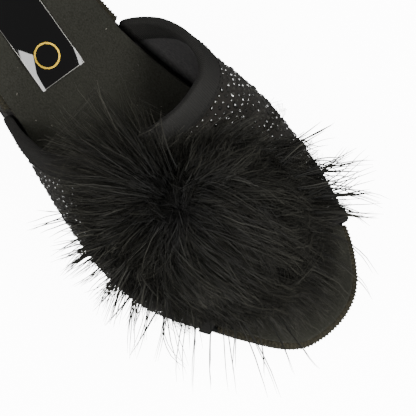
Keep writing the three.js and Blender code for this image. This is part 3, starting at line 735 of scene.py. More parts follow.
def barb_tree(name, is_round):
    """Copies each guide many times, spreads the copies, waves them, and gives them a tapering width.
    Fluff takes flat barbs to save faces, and a long single hair takes a round one."""
    tree, given = new_tree(name, Copies="Int", Root_spread="Float", Tip_spread="Float", Wave="Float",
                           Width="Float", Seed="Int", Material="Material")
    lines = add(tree, "GeometryNodeMeshToCurve", {"Mesh": out(given, "Geometry")})
    copies = add(tree, "GeometryNodeDuplicateElements", {
        "Geometry": out(lines), "Amount": out(given, "Copies")}, domain="SPLINE")
    number = add(tree, "GeometryNodeInputIndex")
    chances = []
    for kind, low, high in (("FLOAT_VECTOR", (-1, -1, -1), (1, 1, 1)), ("FLOAT", 0.0, 1.0),
                            ("FLOAT", 0.0, 0.3), ("FLOAT", 0.55, 1.0)):
        seed = add(tree, "ShaderNodeMath", {0: out(given, "Seed"), 1: float(len(chances))}, operation="ADD")
        drawn = add(tree, "FunctionNodeRandomValue", {
            "Min": low, "Max": high, "ID": out(number), "Seed": out(seed)}, data_type=kind)
        chances.append(out(add(tree, "GeometryNodeFieldOnDomain", {"Value": out(drawn)},
                               domain="CURVE", data_type=kind)))
    direction, own, root_cut, tip_cut = chances
    along = out(add(tree, "GeometryNodeSplineParameter"), "Factor")
    spread = add(tree, "ShaderNodeMapRange", {
        "Value": along, "To Min": out(given, "Root spread"), "To Max": out(given, "Tip spread")})
    aside = add(tree, "ShaderNodeVectorMath", {0: direction, "Scale": out(spread)}, operation="SCALE")
    here = add(tree, "GeometryNodeInputPosition")
    own_w = add(tree, "ShaderNodeMath", {0: own, 1: 3.0}, operation="MULTIPLY")
    swirl = add(tree, "ShaderNodeTexNoise", {
        "Vector": out(here), "W": out(own_w), "Scale": WAVES_PER_METRE, "Detail": 1.0}, noise_dimensions="4D")
    centred = add(tree, "ShaderNodeVectorMath", {0: out(swirl, "Color"), 1: (0.5, 0.5, 0.5)},
                  operation="SUBTRACT")
    wave_size = add(tree, "ShaderNodeMath", {0: along, 1: out(given, "Wave")}, operation="MULTIPLY")
    waved = add(tree, "ShaderNodeVectorMath", {0: out(centred), "Scale": out(wave_size)}, operation="SCALE")
    both = add(tree, "ShaderNodeVectorMath", {0: out(aside), 1: out(waved)}, operation="ADD")
    lain = add(tree, "GeometryNodeSetPosition", {"Geometry": out(copies, "Geometry"), "Offset": out(both)})
    stored = add(tree, "GeometryNodeStoreNamedAttribute", {
        "Geometry": out(lain), "Name": "along", "Value": along}, data_type="FLOAT", domain="POINT")
    shaded = add(tree, "GeometryNodeStoreNamedAttribute", {
        "Geometry": out(stored), "Name": "shade", "Value": own}, data_type="FLOAT", domain="POINT")
    cut = shaded
    if not is_round:
        cut = add(tree, "GeometryNodeTrimCurve", {"Curve": out(shaded), "Start": root_cut, "End": tip_cut},
                  mode="FACTOR")
    thinning = add(tree, "ShaderNodeMath", {0: out(add(tree, "GeometryNodeSplineParameter"), "Factor"),
                                            1: 3.5 if is_round else 1.0}, operation="POWER")
    own_width = add(tree, "ShaderNodeMapRange", {
        "Value": own, "To Min": 0.75 if is_round else 0.5, "To Max": 1.15})
    root_width = add(tree, "ShaderNodeMath", {0: out(own_width), 1: out(given, "Width")},
                     operation="MULTIPLY")
    taper = add(tree, "ShaderNodeMapRange", {
        "Value": out(thinning), "To Min": out(root_width), "To Max": BARB_TIP * MM})
    tilt = add(tree, "ShaderNodeMath", {0: own, 1: math.tau}, operation="MULTIPLY")
    tilted = add(tree, "GeometryNodeSetCurveTilt", {"Curve": out(cut), "Tilt": out(tilt)})
    if is_round:
        section = add(tree, "GeometryNodeCurvePrimitiveCircle", {"Resolution": 3, "Radius": 0.5})
    else:
        section = add(tree, "GeometryNodeCurvePrimitiveLine", {"Start": (-0.5, 0, 0), "End": (0.5, 0, 0)})
    barbs = add(tree, "GeometryNodeCurveToMesh", {
        "Curve": out(tilted), "Profile Curve": out(section, "Curve"), "Scale": out(taper),
        "Fill Caps": is_round})
    smooth = add(tree, "GeometryNodeSetShadeSmooth", {"Geometry": out(barbs)})
    end_tree(tree, out(smooth), given)
    return tree


fluff_tree = barb_tree("fluff_of_barbs", False)
hair_tree = barb_tree("long_hairs", True)
print("trees:", [tree.name for tree in bpy.data.node_groups])

# %% [markdown]
# ## The sole: outsole, wedge, board, sock
#
# Each layer is a grid that runs from the heel to the toe and from the lateral edge to the medial one.
# A layer's wall is given as a few rings, each at a share of its height and moved in by a distance.

# %% Layers of the sole
ROWS = 150
COLUMNS = 24


def smooth_step(t):
    """0 below 0, 1 above 1, and a soft rise between."""
    s = np.clip(t, 0, 1)
    return s * s * (3 - 2 * s)


def inset_edge(x, side, distance):
    """The sole's edge moved in by a distance, square to the edge."""
    before, after = np.maximum(x - 0.5, 0), np.minimum(x + 0.5, SOLE_LENGTH)
    slope = (sole_edge(after, side) - sole_edge(before, side)) / (after - before)
    outward = unit_of(np.stack([-slope * side, np.ones_like(x)], -1))
    return x - outward[:, 0] * distance, sole_edge(x, side) - outward[:, 1] * side * distance


def layer(inset, bottom, top, rings, end=SOLE_LENGTH, crown=0.0):
    """A layer's closed skin, from its heel to an end, through rings given as (height share, inset)."""
    share = np.linspace(0, 1, ROWS + 1)
    is_cut = end < SOLE_LENGTH
    x = end * (1 - np.sin(np.pi * (1 - share) / 2) if is_cut else (1 - np.cos(np.pi * share)) / 2)
    across = np.linspace(0, 1, COLUMNS + 1)[None, :, None]
    grids = []
    for level, extra in rings:
        edges = []
        for side in (-1, 1):
            ex, ey = inset_edge(x, side, inset(x, side) + extra)
            if is_cut:
                ex[-1], ey[-1] = x[-1], ey[-2]
            edges.append(np.stack([ex, ey], -1)[:, None, :])
        plane = edges[0] + (edges[1] - edges[0]) * across
        low, high = bottom(plane[..., 0]), top(plane[..., 0])
        bulge = crown * (1 - (2 * across[..., 0] - 1) ** 4) * level
        grids.append(np.concatenate([plane, (low + (high - low) * level + bulge)[..., None]], -1))
    return shell_of(grids[0], grids[-1], grids[1:-1])


# Under the band the layers step in, to leave room for its wall and its ribbon.
STEP_IN = WALL - OVERHANG + RIBBON + 4 * GAP


def under_band(x, side):
    """1 where the band's edge is glued in beside the board, and 0 elsewhere."""
    turn = 0.0 if side > 0 else 180.0
    room, run = RIBBON + 2 * GAP, 0.8
    start, end = band_back(turn) - room, band_front(turn) + room
    return smooth_step((x - start) / run + 1) * smooth_step((end - x) / run + 1)


print("step in under the band, mm:", round(STEP_IN, 2))

# %% [markdown]
# ### Outsole
#
# A rubber sheet sole has a moulded tread of shallow bars, so that a slipper grips a smooth floor. It
# is a layer like the others, whose lower face is lifted by about half a millimetre between the bars.

# %% Outsole with a barred tread
TREAD_PITCH = 4.2
TREAD_DEPTH = 0.55
TREAD_MARGIN = 6.0
HEEL_PATCH_END = 90
BALL_PATCH_START = 128
WEDGE_END = 143.1


def outsole_top(x):
    return np.where(x < WEDGE_END, outsole_bottom(x) + OUTSOLE, board_bottom(x) - GAP)


points, faces = layer(lambda x, side: 0 * x, outsole_bottom, outsole_top,
                      [(0, 0.8), (0.12, 0.25), (0.3, 0), (0.96, 0), (1, 0.12)])
is_low = np.arange(len(points)) < (ROWS + 1) * (COLUMNS + 1)
edge_room = np.minimum(sole_edge(points[:, 0], 1) - points[:, 1], points[:, 1] - sole_edge(points[:, 0], -1))
end_room = np.minimum(points[:, 0], SOLE_LENGTH - points[:, 0])
inside = smooth_step((np.minimum(edge_room, end_room) - TREAD_MARGIN) / 1.5)
in_patch = smooth_step((HEEL_PATCH_END - points[:, 0]) / 2)
in_patch += smooth_step((points[:, 0] - BALL_PATCH_START) / 2)
bars = np.sin(2 * np.pi * (points[:, 0] + 2.5 * np.sin(points[:, 1] / 6)) / TREAD_PITCH)
points[:, 2] += is_low * inside * in_patch * TREAD_DEPTH * smooth_step(bars * 1.6 + 0.3)
outsole = mesh_piece("outsole_sheet", points, faces, [rubber_sheet])
settle(outsole, "outsole_rubber", "outsole")

# %% [markdown]
# ### Wedge
#
# The wedge is a light core wrapped in grained synthetic leather, drawn in a little at mid height. The
# cover closes in a seam down the middle of the heel. The photograph's edge hides it, so it is plain.

# %% Wedge


def wedge_low(x):
    return outsole_bottom(x) + OUTSOLE + GAP


def wedge_high(x):
    return board_bottom(x) - GAP


points, faces = layer(lambda x, side: 0.4 + 0 * x, wedge_low, wedge_high,
                      [(0, 0.25), (0.04, 0), (0.2, 0.45), (0.5, 0.8), (0.8, 0.45), (0.96, 0), (1, 0.25)],
                      end=WEDGE_END - GAP)
seam = np.exp(-(points[:, 1] / 0.7) ** 2) * smooth_step((4 - points[:, 0]) / 2)
points[:, 0] += 0.5 * seam
wedge = mesh_piece("wedge_wrap", points, faces, [wedge_leather], crease=60)
settle(wedge, "wedge_cover", "wedge")

# %% [markdown]
# ### Rim
#
# A strip of cloth is wrapped over the board's edge before the sock is glued in. It puckers into small
# ribs about 1.5 mm apart, which give the open toe its scalloped outline. Here it is a closed tube round
# the whole sole, ribbed by Geometry Nodes.

# %% Rim cloth round the board
RIM_RIB_PITCH = 1.47
RIM_RIB_HEIGHT = 0.5
RIM_SWELL = 0.7
RIM_REACH = 5.5
POINTS_A_RIB = 6
closed = np.vstack([sole_loop, sole_loop[:1]])
lengths = run_along(closed)
rib_count = round(lengths[-1] / RIM_RIB_PITCH)
stations = np.arange(rib_count * POINTS_A_RIB) / (rib_count * POINTS_A_RIB) * lengths[-1]
ring = np.stack([np.interp(stations, lengths, closed[:, k]) for k in (0, 1)], -1)
forward = unit_of(np.roll(ring, -3, axis=0) - np.roll(ring, 3, axis=0))
outward = np.stack([forward[:, 1], -forward[:, 0]], -1)
if ((outward * (ring - ring.mean(0))).sum(1)).mean() < 0:
    outward = -outward
side_of = np.where(stations < lengths[toe_index], 1, -1)
is_under = np.array([under_band(p[0], s) for p, s in zip(ring, side_of)])
moved_in = STEP_IN * is_under - RIM_SWELL * (1 - is_under)
# inset, height share, rib
rim_section = [
    (RIM_REACH, 1.00, 0.0), (3.2, 1.02, 0.2), (2.0, 1.03, 0.7), (1.2, 1.02, 1.0), (0.6, 0.97, 1.0),
    (0.2, 0.86, 1.0), (0.0, 0.65, 1.0), (0.0, 0.35, 1.0), (0.2, 0.14, 1.0), (0.6, 0.03, 0.6),
    (1.4, 0.00, 0.0), (RIM_REACH, 0.00, 0.0), (RIM_REACH + 0.3, 0.5, 0.0),
]
tube = []
for inset_share, level, _ in rim_section:
    plane = ring - outward * (moved_in + inset_share)[:, None]
    height = board_bottom(plane[:, 0]) + BOARD * level
    tube.append(np.concatenate([plane, height[:, None]], 1))
tube = np.stack(tube, 1)
faces = grid_faces(tube.shape[0], tube.shape[1], closed_rows=True, closed_columns=True)
run_values = np.repeat(np.arange(len(ring)) / POINTS_A_RIB * RIM_RIB_PITCH, len(rim_section))
rib_values = (np.array([row[2] for row in rim_section]) * (1 - 0.5 * is_under[:, None])).ravel()
rim = mesh_piece("rim_cloth_wrap", tube.reshape(-1, 3), faces, [rim_cloth],
                 attributes={"run": run_values, "rib": rib_values}, crease=75)
run_tree(rim, rib_tree, Pitch=RIM_RIB_PITCH, Height=RIM_RIB_HEIGHT * MM, Material=rim_cloth)
settle(rim, "rim_cover", "insole_board")
print("ribs round the sole:", rib_count)

# %% [markdown]
# ### Sock
#
# The sock is the thin sheet that the foot stands on, here black microsuede on a millimetre of foam. It
# is slightly domed between its edges and dips a little under the ball of the foot.

# %% Sock


def sock_inset(x, side):
    return RIM + (STEP_IN + GAP - RIM) * under_band(x, side)


def sock_low(x):
    return board_bottom(x) + BOARD + GAP


points, faces = layer(sock_inset, sock_low, sock_top,
                      [(0, 0.1), (0.15, -0.05), (0.6, -0.05), (0.88, 0.15), (1, 0.55)], crown=0.25)
on_top = (np.arange(len(points)) // ((ROWS + 1) * (COLUMNS + 1))) == 1
ripple = 0.10 * np.sin(points[:, 0] / 7.3 + 1.3 * np.sin(points[:, 1] / 9)) * np.sin(points[:, 1] / 6.1)
ball_dip = 0.35 * np.exp(-((points[:, 0] - 170) ** 2 + (points[:, 1] - 14) ** 2) / 700)
points[:, 2] += on_top * (ripple - ball_dip)
sock = mesh_piece("suede_sock", points, faces, [microsuede], crease=60)
settle(sock, "sock_suede", "insole_sock")

# %% [markdown]
# ### Lint
#
# A new shoe comes out of its box with a few pale specks of lint caught in the nap. Each is a curl of
# cotton thread under a millimetre long. A few dozen of them, thinly spread, give the dark sock a scale.

# %% Lint caught in the sock's nap
LINT_LENGTH = 0.42
LINT_THICKNESS = 0.055
rng = np.random.default_rng(41)
lint_x = np.concatenate([rng.uniform(70, 140, 44), rng.uniform(205, 232, 12)])
lint_side = np.concatenate([rng.uniform(0.1, 0.9, 44), rng.uniform(0.25, 0.85, 12)])
lint_y = sole_edge(lint_x, -1) + (sole_edge(lint_x, 1) - sole_edge(lint_x, -1)) * lint_side
on_label = (lint_x < LABEL_FRONT + 1) & (np.abs(lint_y) < LABEL_WIDTH / 2 + 1)
lint_places = np.stack([lint_x, lint_y, sock_top(lint_x) + 0.22], -1)[~on_label]
count = len(lint_places)
lint = point_cloud("sock_lint", lint_places, rng.normal(0, 0.25, (count, 3)) + (0, 0, 1),
                   rng.normal(0, 1, (count, 3)), rng.gamma(2.0, 0.45, count), np.zeros(count), cotton_lint)
run_tree(lint, thread_set, Length=LINT_LENGTH * MM, Thickness=LINT_THICKNESS * MM, Material=cotton_lint)
settle(lint, "sock_suede")

# %% [markdown]
# ### Label
#
# The label is a strip of gloss foil, 20 mm wide, that lies along the heel's centre line. It carries a
# fine pale border line and a plain gold ring, and its field is bare. The foil lifts a little along its
# lateral edge, and that bend is what catches the studio's light.

# %% Label foil, its border line and its ring
RING_PLACE = on_level(47.2, 55.8, 27.6)[:2].round(1)
RING_RADIUS = 4.75
RING_LINE = 0.68
RING_RAISE = 0.05
BORDER_LINE = 0.2
BORDER_INSET = 0.15
BORDER_RAISE = 0.06
FOIL = 0.2
FOIL_LIFT = 0.32
FOIL_CROWN = 0.2
FOIL_RIPPLE = 0.03
BEND = 0.2
# millimetres behind the label's front edge, and how far in from its lateral and its medial edge it bends
BEND_TABLE = np.array([(0.0, 1.2, 1.9), (3.0, 1.4, 0.9), (7.0, 1.9, 0.0), (13.6, 5.1, 0.0), (21.6, 0.0, 0.0)])


def label_top(x, y):
    crown = FOIL_CROWN * (1 - (y / (LABEL_WIDTH / 2)) ** 2)
    behind = LABEL_FRONT - x
    lateral, medial = (np.interp(behind, BEND_TABLE[:, 0], BEND_TABLE[:, k]) for k in (1, 2))
    bend = np.maximum(lateral - (y + LABEL_WIDTH / 2), 0) - np.maximum(medial - (LABEL_WIDTH / 2 - y), 0)
    ripple = FOIL_RIPPLE * np.sin(x / 5.1 + y / 7)
    return sock_top(x) + GAP + FOIL_LIFT + crown + BEND * bend + ripple


x_lines = np.linspace(LABEL_FRONT - LABEL_LENGTH, LABEL_FRONT, 125)
y_lines = np.linspace(-LABEL_WIDTH / 2, LABEL_WIDTH / 2, 61)
gx, gy = np.meshgrid(x_lines, y_lines, indexing="ij")
top = np.stack([gx, gy, label_top(gx, gy)], -1)
points, faces = shell_of(top - (0, 0, FOIL), top)
label = mesh_piece("label_foil_strip", points, faces, [black_foil], crease=50)
settle(label, "label_foil", "sock_label")


def flat_loop(name, inner, outer, material, lift):
    """A flat line on the label between two closed loops of points."""
    rows = []
    for loop in (inner, outer):
        rows.append(np.concatenate([loop, (label_top(loop[:, 0], loop[:, 1]) + lift)[:, None]], 1))
    both = np.stack(rows, 1)
    lower = both - (0, 0, lift)
    tube = np.concatenate([both, lower[:, ::-1]], 1)
    return mesh_piece(name, tube.reshape(-1, 3), grid_faces(len(inner), 4, True, True), [material], crease=30)


around = np.linspace(0, 2 * np.pi, 96, endpoint=False)
circle = np.stack([np.cos(around), np.sin(around)], -1)
ring_line = flat_loop("label_ring", RING_PLACE + circle * (RING_RADIUS - RING_LINE / 2),
                      RING_PLACE + circle * (RING_RADIUS + RING_LINE / 2), gold_foil, RING_RAISE)
settle(ring_line, "gold_foil")


def label_border(inset):
    """A rectangle inside the label's edge, with a point every half millimetre."""
    x0, x1 = LABEL_FRONT - LABEL_LENGTH + inset, LABEL_FRONT - inset
    y1 = LABEL_WIDTH / 2 - inset
    corners = np.array([(x0, -y1), (x1, -y1), (x1, y1), (x0, y1)])
    sides = []
    for k, steps in enumerate((124, 40, 124, 40)):
        share = np.arange(steps)[:, None] / steps
        sides.append(corners[k] + (corners[(k + 1) % 4] - corners[k]) * share)
    return np.vstack(sides)


border = flat_loop("label_border", label_border(BORDER_INSET + BORDER_LINE), label_border(BORDER_INSET),
                   silver_foil, BORDER_RAISE)
settle(border, "gold_foil")

# %% [markdown]
# ## The band
#
# The upper is one broad band of twill, lined with satin, that follows the last from the medial side of
# the sole to the lateral one. Its two faces are separate grids of one closed skin, so that the lining
# can have its own finish.

# %% Band: twill outside, satin inside
BAND_TURNS = 181
BAND_STATIONS = 57
inner_face = band_face(BAND_TURNS, BAND_STATIONS, -WALL)
outer_face = band_face(BAND_TURNS, BAND_STATIONS, 0.0)
points, faces = shell_of(inner_face, outer_face)
quads = (BAND_TURNS - 1) * (BAND_STATIONS - 1)
slots = np.zeros(len(faces), int)
slots[quads : 2 * quads] = 1
band = mesh_piece("vamp_band", points, faces, [band_twill, satin_lining], face_slots=slots, crease=60)
settle(band, "band_cloth", "upper")

# %% [markdown]
# ### Lasting margin
#
# The band's cloth runs on under the board, where it is glued down. This margin closes the groove
# between the sole and the lining, so that no light comes up through it.

# %% Lasting margin on both sides
MARGIN_REACH = 6.0
MARGIN_CLOTH = 0.2
for name, turn in (("margin_medial", 0.5), ("margin_lateral", 179.5)):
    x = np.linspace(band_back(turn) + 1, band_front(turn) - 1, 60)
    outer = upper_point(x, turn, -0.3)
    inner = outer.copy()
    inner[:, 1] += MARGIN_REACH if turn > 90 else -MARGIN_REACH
    strip = np.stack([outer, inner], 1) if turn < 90 else np.stack([inner, outer], 1)
    strip[..., 2] = board_bottom(strip[..., 0]) - 0.04
    points, faces = shell_of(strip - (0, 0, MARGIN_CLOTH), strip)
    settle(mesh_piece(name, points, faces, [satin_lining]), "band_lining")

# %% [markdown]
# ### Ribbons
#
# Both edges of the band are bound with grosgrain, a ribbon with ribs across it about a millimetre
# apart. It is folded over the edge, 8.5 mm wide at the back and 4 mm at the front. A row of small
# stitches holds it near its inner edge.

# %% Ribbons folded over the band's edges
GROSGRAIN_PITCH = 0.95
GROSGRAIN_HEIGHT = 0.26


def even_turns(edge_of, spacing):
    """Angles round the section at even distances along one edge of the band, and the length run at each."""
    fine = np.linspace(0, 180, 1801)
    length = run_along(last_point(edge_of(fine), fine))
    count = int(length[-1] / spacing)
    run_at = np.linspace(0, length[-1], count + 1)
    return np.interp(run_at, length, fine), run_at


def ribbon(name, edge_of, width, inward):
    """A binding folded over one edge of the band: a tube whose section goes round the edge."""
    turn_at, run_at = even_turns(edge_of, GROSGRAIN_PITCH / 4)
    x = edge_of(turn_at)
    stretch = stretch_at(edge_of, turn_at)
    near, far = GAP * 0.5, GAP + RIBBON
    # share of the width, millimetres past the edge, depth, rib
    section = [(1.0, 0, near, 0), (1.0, 0, far * 0.8, 0.3), (0.97, 0, far, 1), (0.75, 0, far, 1),
               (0.5, 0, far, 1), (0.25, 0, far, 1), (0.05, 0, far, 1), (0, -0.5, far * 0.8, 1),
               (0, -0.85, 0.2, 1), (0, -0.95, -WALL / 2, 1), (0, -0.85, -WALL - 0.2, 1),
               (0, -0.5, -WALL - far * 0.8, 1), (0.05, 0, -WALL - far, 1), (0.3, 0, -WALL - far, 1),
               (0.6, 0, -WALL - far, 1), (0.97, 0, -WALL - far, 1), (1.0, 0, -WALL - far * 0.8, 0.3),
               (1.0, 0, -WALL - near, 0), (0.5, 0, -WALL - near, 0), (0, 0, -WALL - near, 0),
               (0, -0.2, -WALL / 2, 0), (0, 0, near, 0), (0.5, 0, near, 0)]
    rings = [upper_point(x + inward * stretch * (share * width + extra), turn_at, depth)
             for share, extra, depth, _ in section]
    tube = np.stack(rings, 1)
    count = len(section)
    faces = grid_faces(len(turn_at), count, closed_columns=True)
    last = (len(turn_at) - 1) * count
    faces += [tuple(range(count)), tuple(range(last + count - 1, last - 1, -1))]
    if inward < 0:
        faces = [f[::-1] for f in faces]
    piece = mesh_piece(name, tube.reshape(-1, 3), faces, [grosgrain],
                       attributes={"run": np.repeat(run_at, count),
                                   "rib": np.tile([row[3] for row in section], len(turn_at))}, crease=75)
    return run_tree(piece, rib_tree, Pitch=GROSGRAIN_PITCH, Height=GROSGRAIN_HEIGHT * MM, Material=grosgrain)


settle(ribbon("topline_binding", band_back, TOPLINE_WIDTH, 1), "grosgrain", "topline_ribbon")
settle(ribbon("front_binding", band_front, FRONT_WIDTH, -1), "grosgrain", "front_ribbon")

# %% [markdown]
# ### Stones and stitches
#
# The stones are set in rows that follow the topline, closely at first and looser further on. The rows
# are worked out here as points, each with a size, a tone and the way it faces, and the tree sets a
# small cut stone on every point. Hand-set stones never face quite the same way, so each one is tipped a
# little, and only some of them catch the light.

# %% Stones in rows along the topline
STONE_SIZES = (1.4, 1.8, 2.2)
STONE_SHARES = (0.3, 0.5, 0.2)
FIRST_ROW = TOPLINE_WIDTH + 1.5
ROW_SPACING = 2.75
STONE_SPACING = 2.9
LARGE_STONE = 2.9
LARGE_STONE_ROOM = 2.5
STONE_FACETS = 8
STONE_JITTER = 0.35
STONE_TIP = 0.1
STONE_ROWS = 34
MISSING_SHARE = 0.06
rng = np.random.default_rng(11)
spots = []
for row in range(STONE_ROWS):
    turn_at, _ = even_turns(band_back, STONE_SPACING)
    loose = min(row, 3) / 3
    turn_at = turn_at + (row % 2) * 0.5 * (turn_at[1] - turn_at[0])
    distance = FIRST_ROW + row * ROW_SPACING + loose * rng.uniform(-STONE_JITTER, STONE_JITTER, len(turn_at))
    turn_at = np.clip(turn_at + loose * rng.uniform(-STONE_JITTER, STONE_JITTER, len(turn_at)), 1, 179)
    x = band_back(turn_at) + stretch_at(band_back, turn_at) * distance
    room = band_front(turn_at) - x - FRONT_WIDTH - 1.5
    for x_one, turn_one in zip(x[room > 0], turn_at[room > 0]):
        if loose < 1 or rng.random() > MISSING_SHARE:
            spots.append((x_one, turn_one, rng.choice(STONE_SIZES, p=STONE_SHARES), row))
spots = np.array(spots)
# a few larger stones on the medial side, each with the small ones beside it left out
is_large = (spots[:, 1] > 22) & (spots[:, 1] < 60) & (spots[:, 3] > 2) & (rng.random(len(spots)) < 0.06)
spots[is_large, 2] = LARGE_STONE
places = upper_point(spots[:, 0], spots[:, 1], -0.05)
for k in np.flatnonzero(is_large):
    near = np.linalg.norm(places - places[k], axis=1) < LARGE_STONE_ROOM
    near[k] = False
    spots[near, 2] = 0
keep = spots[:, 2] > 0
spots, places = spots[keep], places[keep]
normals = last_normal(spots[:, 0], spots[:, 1])
tipped = normals + rng.normal(0, STONE_TIP, normals.shape)
stones = point_cloud("cut_stones", places, tipped, rng.normal(0, 1, normals.shape) + (0.1, 0, 0),
                     spots[:, 2] / 2 * MM, rng.random(len(spots)), hematite)
run_tree(stones, stone_set, Facets=STONE_FACETS, Material=hematite)
settle(stones, "stone")
print("stones:", len(spots))

# %% Stitches along both ribbons
STITCH_PITCH = 2.6
STITCH_LENGTH = 1.7
STITCH_THICKNESS = 0.16
STITCH_FROM_EDGE = 0.9
STITCH_RAISE = 0.08


def stitches(name, edge_of, width, inward):
    """A row of running stitches near a ribbon's inner edge."""
    turn_at = even_turns(edge_of, STITCH_PITCH)[0][2:-2]
    across = inward * stretch_at(edge_of, turn_at) * (width - STITCH_FROM_EDGE)
    x = edge_of(turn_at) + across
    here = upper_point(x, turn_at, GAP + RIBBON + STITCH_RAISE)
    turn_ahead = turn_at + 0.4
    ahead = upper_point(edge_of(turn_ahead) + across, turn_ahead, GAP + RIBBON)
    normals = last_normal(x, turn_at)
    piece = point_cloud(name, here, normals, ahead - here, np.ones(len(x)), np.zeros(len(x)), grosgrain)
    return run_tree(piece, thread_set, Length=STITCH_LENGTH * MM, Thickness=STITCH_THICKNESS * MM,
                    Material=grosgrain)


settle(stitches("topline_stitches", band_back, TOPLINE_WIDTH, 1), "grosgrain")
settle(stitches("front_stitches", band_front, FRONT_WIDTH, -1), "grosgrain")

# %% [markdown]
# ## The pompom
#
# Marabou is down: each quill carries hundreds of long soft barbs that lie over one another like fur.
# The knot is sewn on at one point, and from there the down is combed outwards, over the vamp and past
# the sides of the shoe. It is made here as a dark heart, which stops light from shining through, and
# layers of down over it: short fluff, two layers of longer barbs, a thin top layer, the curls at the
# knot, and wisps that lie out over the ribbon and the sock. Each starts from guide lines combed over the
# heart, away from the swirl, and Geometry Nodes copy each guide into many barbs.

# %% The pompom's own shape: a leaning dome that drapes over the vamp
POMPOM_RADIUS = 37.0
POMPOM_HEIGHT = 34.5
POMPOM_ALONG = 182.0
POMPOM_ACROSS = 7.0
POMPOM_TILT = math.radians(20)
POMPOM_DRAPE = 10.0
POMPOM_BELLY = 0.2
LIFT_SHARE = 0.6
pompom_seat = upper_point(POMPOM_ALONG, 90.0, 0.0)[2]


def on_pompom(unit, reach):
    """A point of the dome for a direction from its middle, and a distance out from its skin."""
    flat = (POMPOM_RADIUS + reach)[..., None] * unit[..., :2]
    up = (POMPOM_HEIGHT + LIFT_SHARE * reach) * unit[..., 2]
    up = np.where(unit[..., 2] < 0, up * POMPOM_BELLY, up)
    up = up - POMPOM_DRAPE * (flat[..., 1] / POMPOM_RADIUS) ** 2
    x = flat[..., 0] * math.cos(POMPOM_TILT) + up * math.sin(POMPOM_TILT)
    z = up * math.cos(POMPOM_TILT) - flat[..., 0] * math.sin(POMPOM_TILT)
    return np.stack([x + POMPOM_ALONG, flat[..., 1] + POMPOM_ACROSS, z + pompom_seat], -1)


print("top of the dome, mm:", on_pompom(np.array([0.0, 0.0, 1.0]), np.array(0.0)).round(1))

# %% Keep what lies on the band clear of it, and the down within the shoe's outline
LOWEST_HAIR = 4.0
HANG_SHARE = 0.8
TOE_START = 204.0
SHORTEST_SHARE = 0.3
seat_grid = band_face(61, 50, 0.0)
seat_faces = [f[::-1] for f in grid_faces(*seat_grid.shape[:2])]
seat_tree = BVHTree.FromPolygons(seat_grid.reshape(-1, 3).tolist(), seat_faces)


def clear_of_band(points, room):
    """Moves points that are nearer to the band or the bed than a distance out from it."""
    lifted = points.copy()
    for k, point in enumerate(points):
        hit, normal, _, _ = seat_tree.find_nearest(Vector(point))
        away = Vector(point) - hit
        depth = away.dot(normal)
        is_past_edge = (away - depth * normal).length > 0.5 * away.length
        if depth < room[k] and not is_past_edge:
            lifted[k] = hit + normal * room[k]
    in_front = points[:, 0] > band_front(90.0) + 1
    over_bed = sock_top(np.minimum(points[:, 0], SOLE_LENGTH)) + room
    lifted[:, 2] = np.maximum(lifted[:, 2], np.where(in_front, over_bed, LOWEST_HAIR))
    return lifted


def upper_side(x, side):
    """How far out the band's side bulges, seen from above."""
    bulge = medial_bulge if side > 0 else lateral_bulge
    return sole_edge(x, side) + side * BALL_WIDTH * bulge(x / SOLE_LENGTH)


def drawn_in(points, lateral_inset, medial_inset, margin):
    """Draws points past the shoe's side softly in, and lets them hang lower instead."""
    x, y = points[..., 0], points[..., 1]
    over = np.maximum(y - upper_side(x, 1) + medial_inset, 0)
    over = over - np.maximum(upper_side(x, -1) + lateral_inset - y, 0)
    kept = np.sign(over) * margin * (1 - np.exp(-np.abs(over) / margin))
    drawn = points.copy()
    drawn[..., 1] += kept - over
    drawn[..., 2] -= HANG_SHARE * np.abs(over - kept)
    return drawn


def ended_at_toe(lines, rooms):
    """Ends each line where it would come nearer to the toe's edge than its own distance."""
    stations = np.linspace(0, 1, lines.shape[1])
    fine = np.linspace(0, 1, 57)
    ended = np.empty_like(lines)
    for k, (line, room) in enumerate(zip(lines, rooms)):
        x, y = (np.interp(fine, stations, line[:, n]) for n in (0, 1))
        on_sole = np.minimum(x, SOLE_LENGTH - 0.5)
        is_past = (y > sole_edge(on_sole, 1) - room) | (y < sole_edge(on_sole, -1) + room)
        is_past = (is_past | (x > SOLE_LENGTH - room)) & (x > TOE_START)
        end = max(fine[is_past.argmax()], SHORTEST_SHARE) if is_past.any() else 1.0
        ended[k] = np.stack([np.interp(stations * end, stations, line[:, n]) for n in range(3)], -1)
    return ended


print("the band's sides at its middle, mm:", upper_side(165.0, -1).round(1), upper_side(165.0, 1).round(1))

# %% The heart under the down, with a hollow where it is sewn on
SWIRL = np.array([-0.73, -0.30, 0.61])
SWIRL = SWIRL / np.linalg.norm(SWIRL)
HOLLOW = 3.5


def hollow_at(from_swirl):
    """Depth of the hollow at an angle from the swirl."""
    return HOLLOW * np.exp(-(from_swirl / 0.3) ** 2)


bearing, climb = np.meshgrid(
    np.linspace(0, 2 * np.pi, 97)[:-1], np.linspace(-0.5, 0.5, 49)[1:-1] * np.pi, indexing="ij")
unit = np.stack([np.cos(climb) * np.cos(bearing), np.cos(climb) * np.sin(bearing), np.sin(climb)], -1)
lumps = (np.sin(5 * bearing + 3 * climb) + np.sin(9 * bearing - 7 * climb) + np.sin(17 * bearing)) * 0.5
heart_grid = on_pompom(unit, -4.5 + lumps - 2 * hollow_at(np.arccos(np.clip(unit @ SWIRL, -1, 1))))
rows, columns = heart_grid.shape[:2]
poles = on_pompom(np.array([[0.0, 0.0, -1.0], [0.0, 0.0, 1.0]]), np.array([-3.5, -3.5]))
heart_points = np.vstack([heart_grid.reshape(-1, 3), poles])
heart_points = drawn_in(heart_points, lateral_inset=5.0, medial_inset=4.0, margin=2.0)
heart_points = clear_of_band(heart_points, np.full(len(heart_points), 1.2))
faces = grid_faces(rows, columns, closed_rows=True)
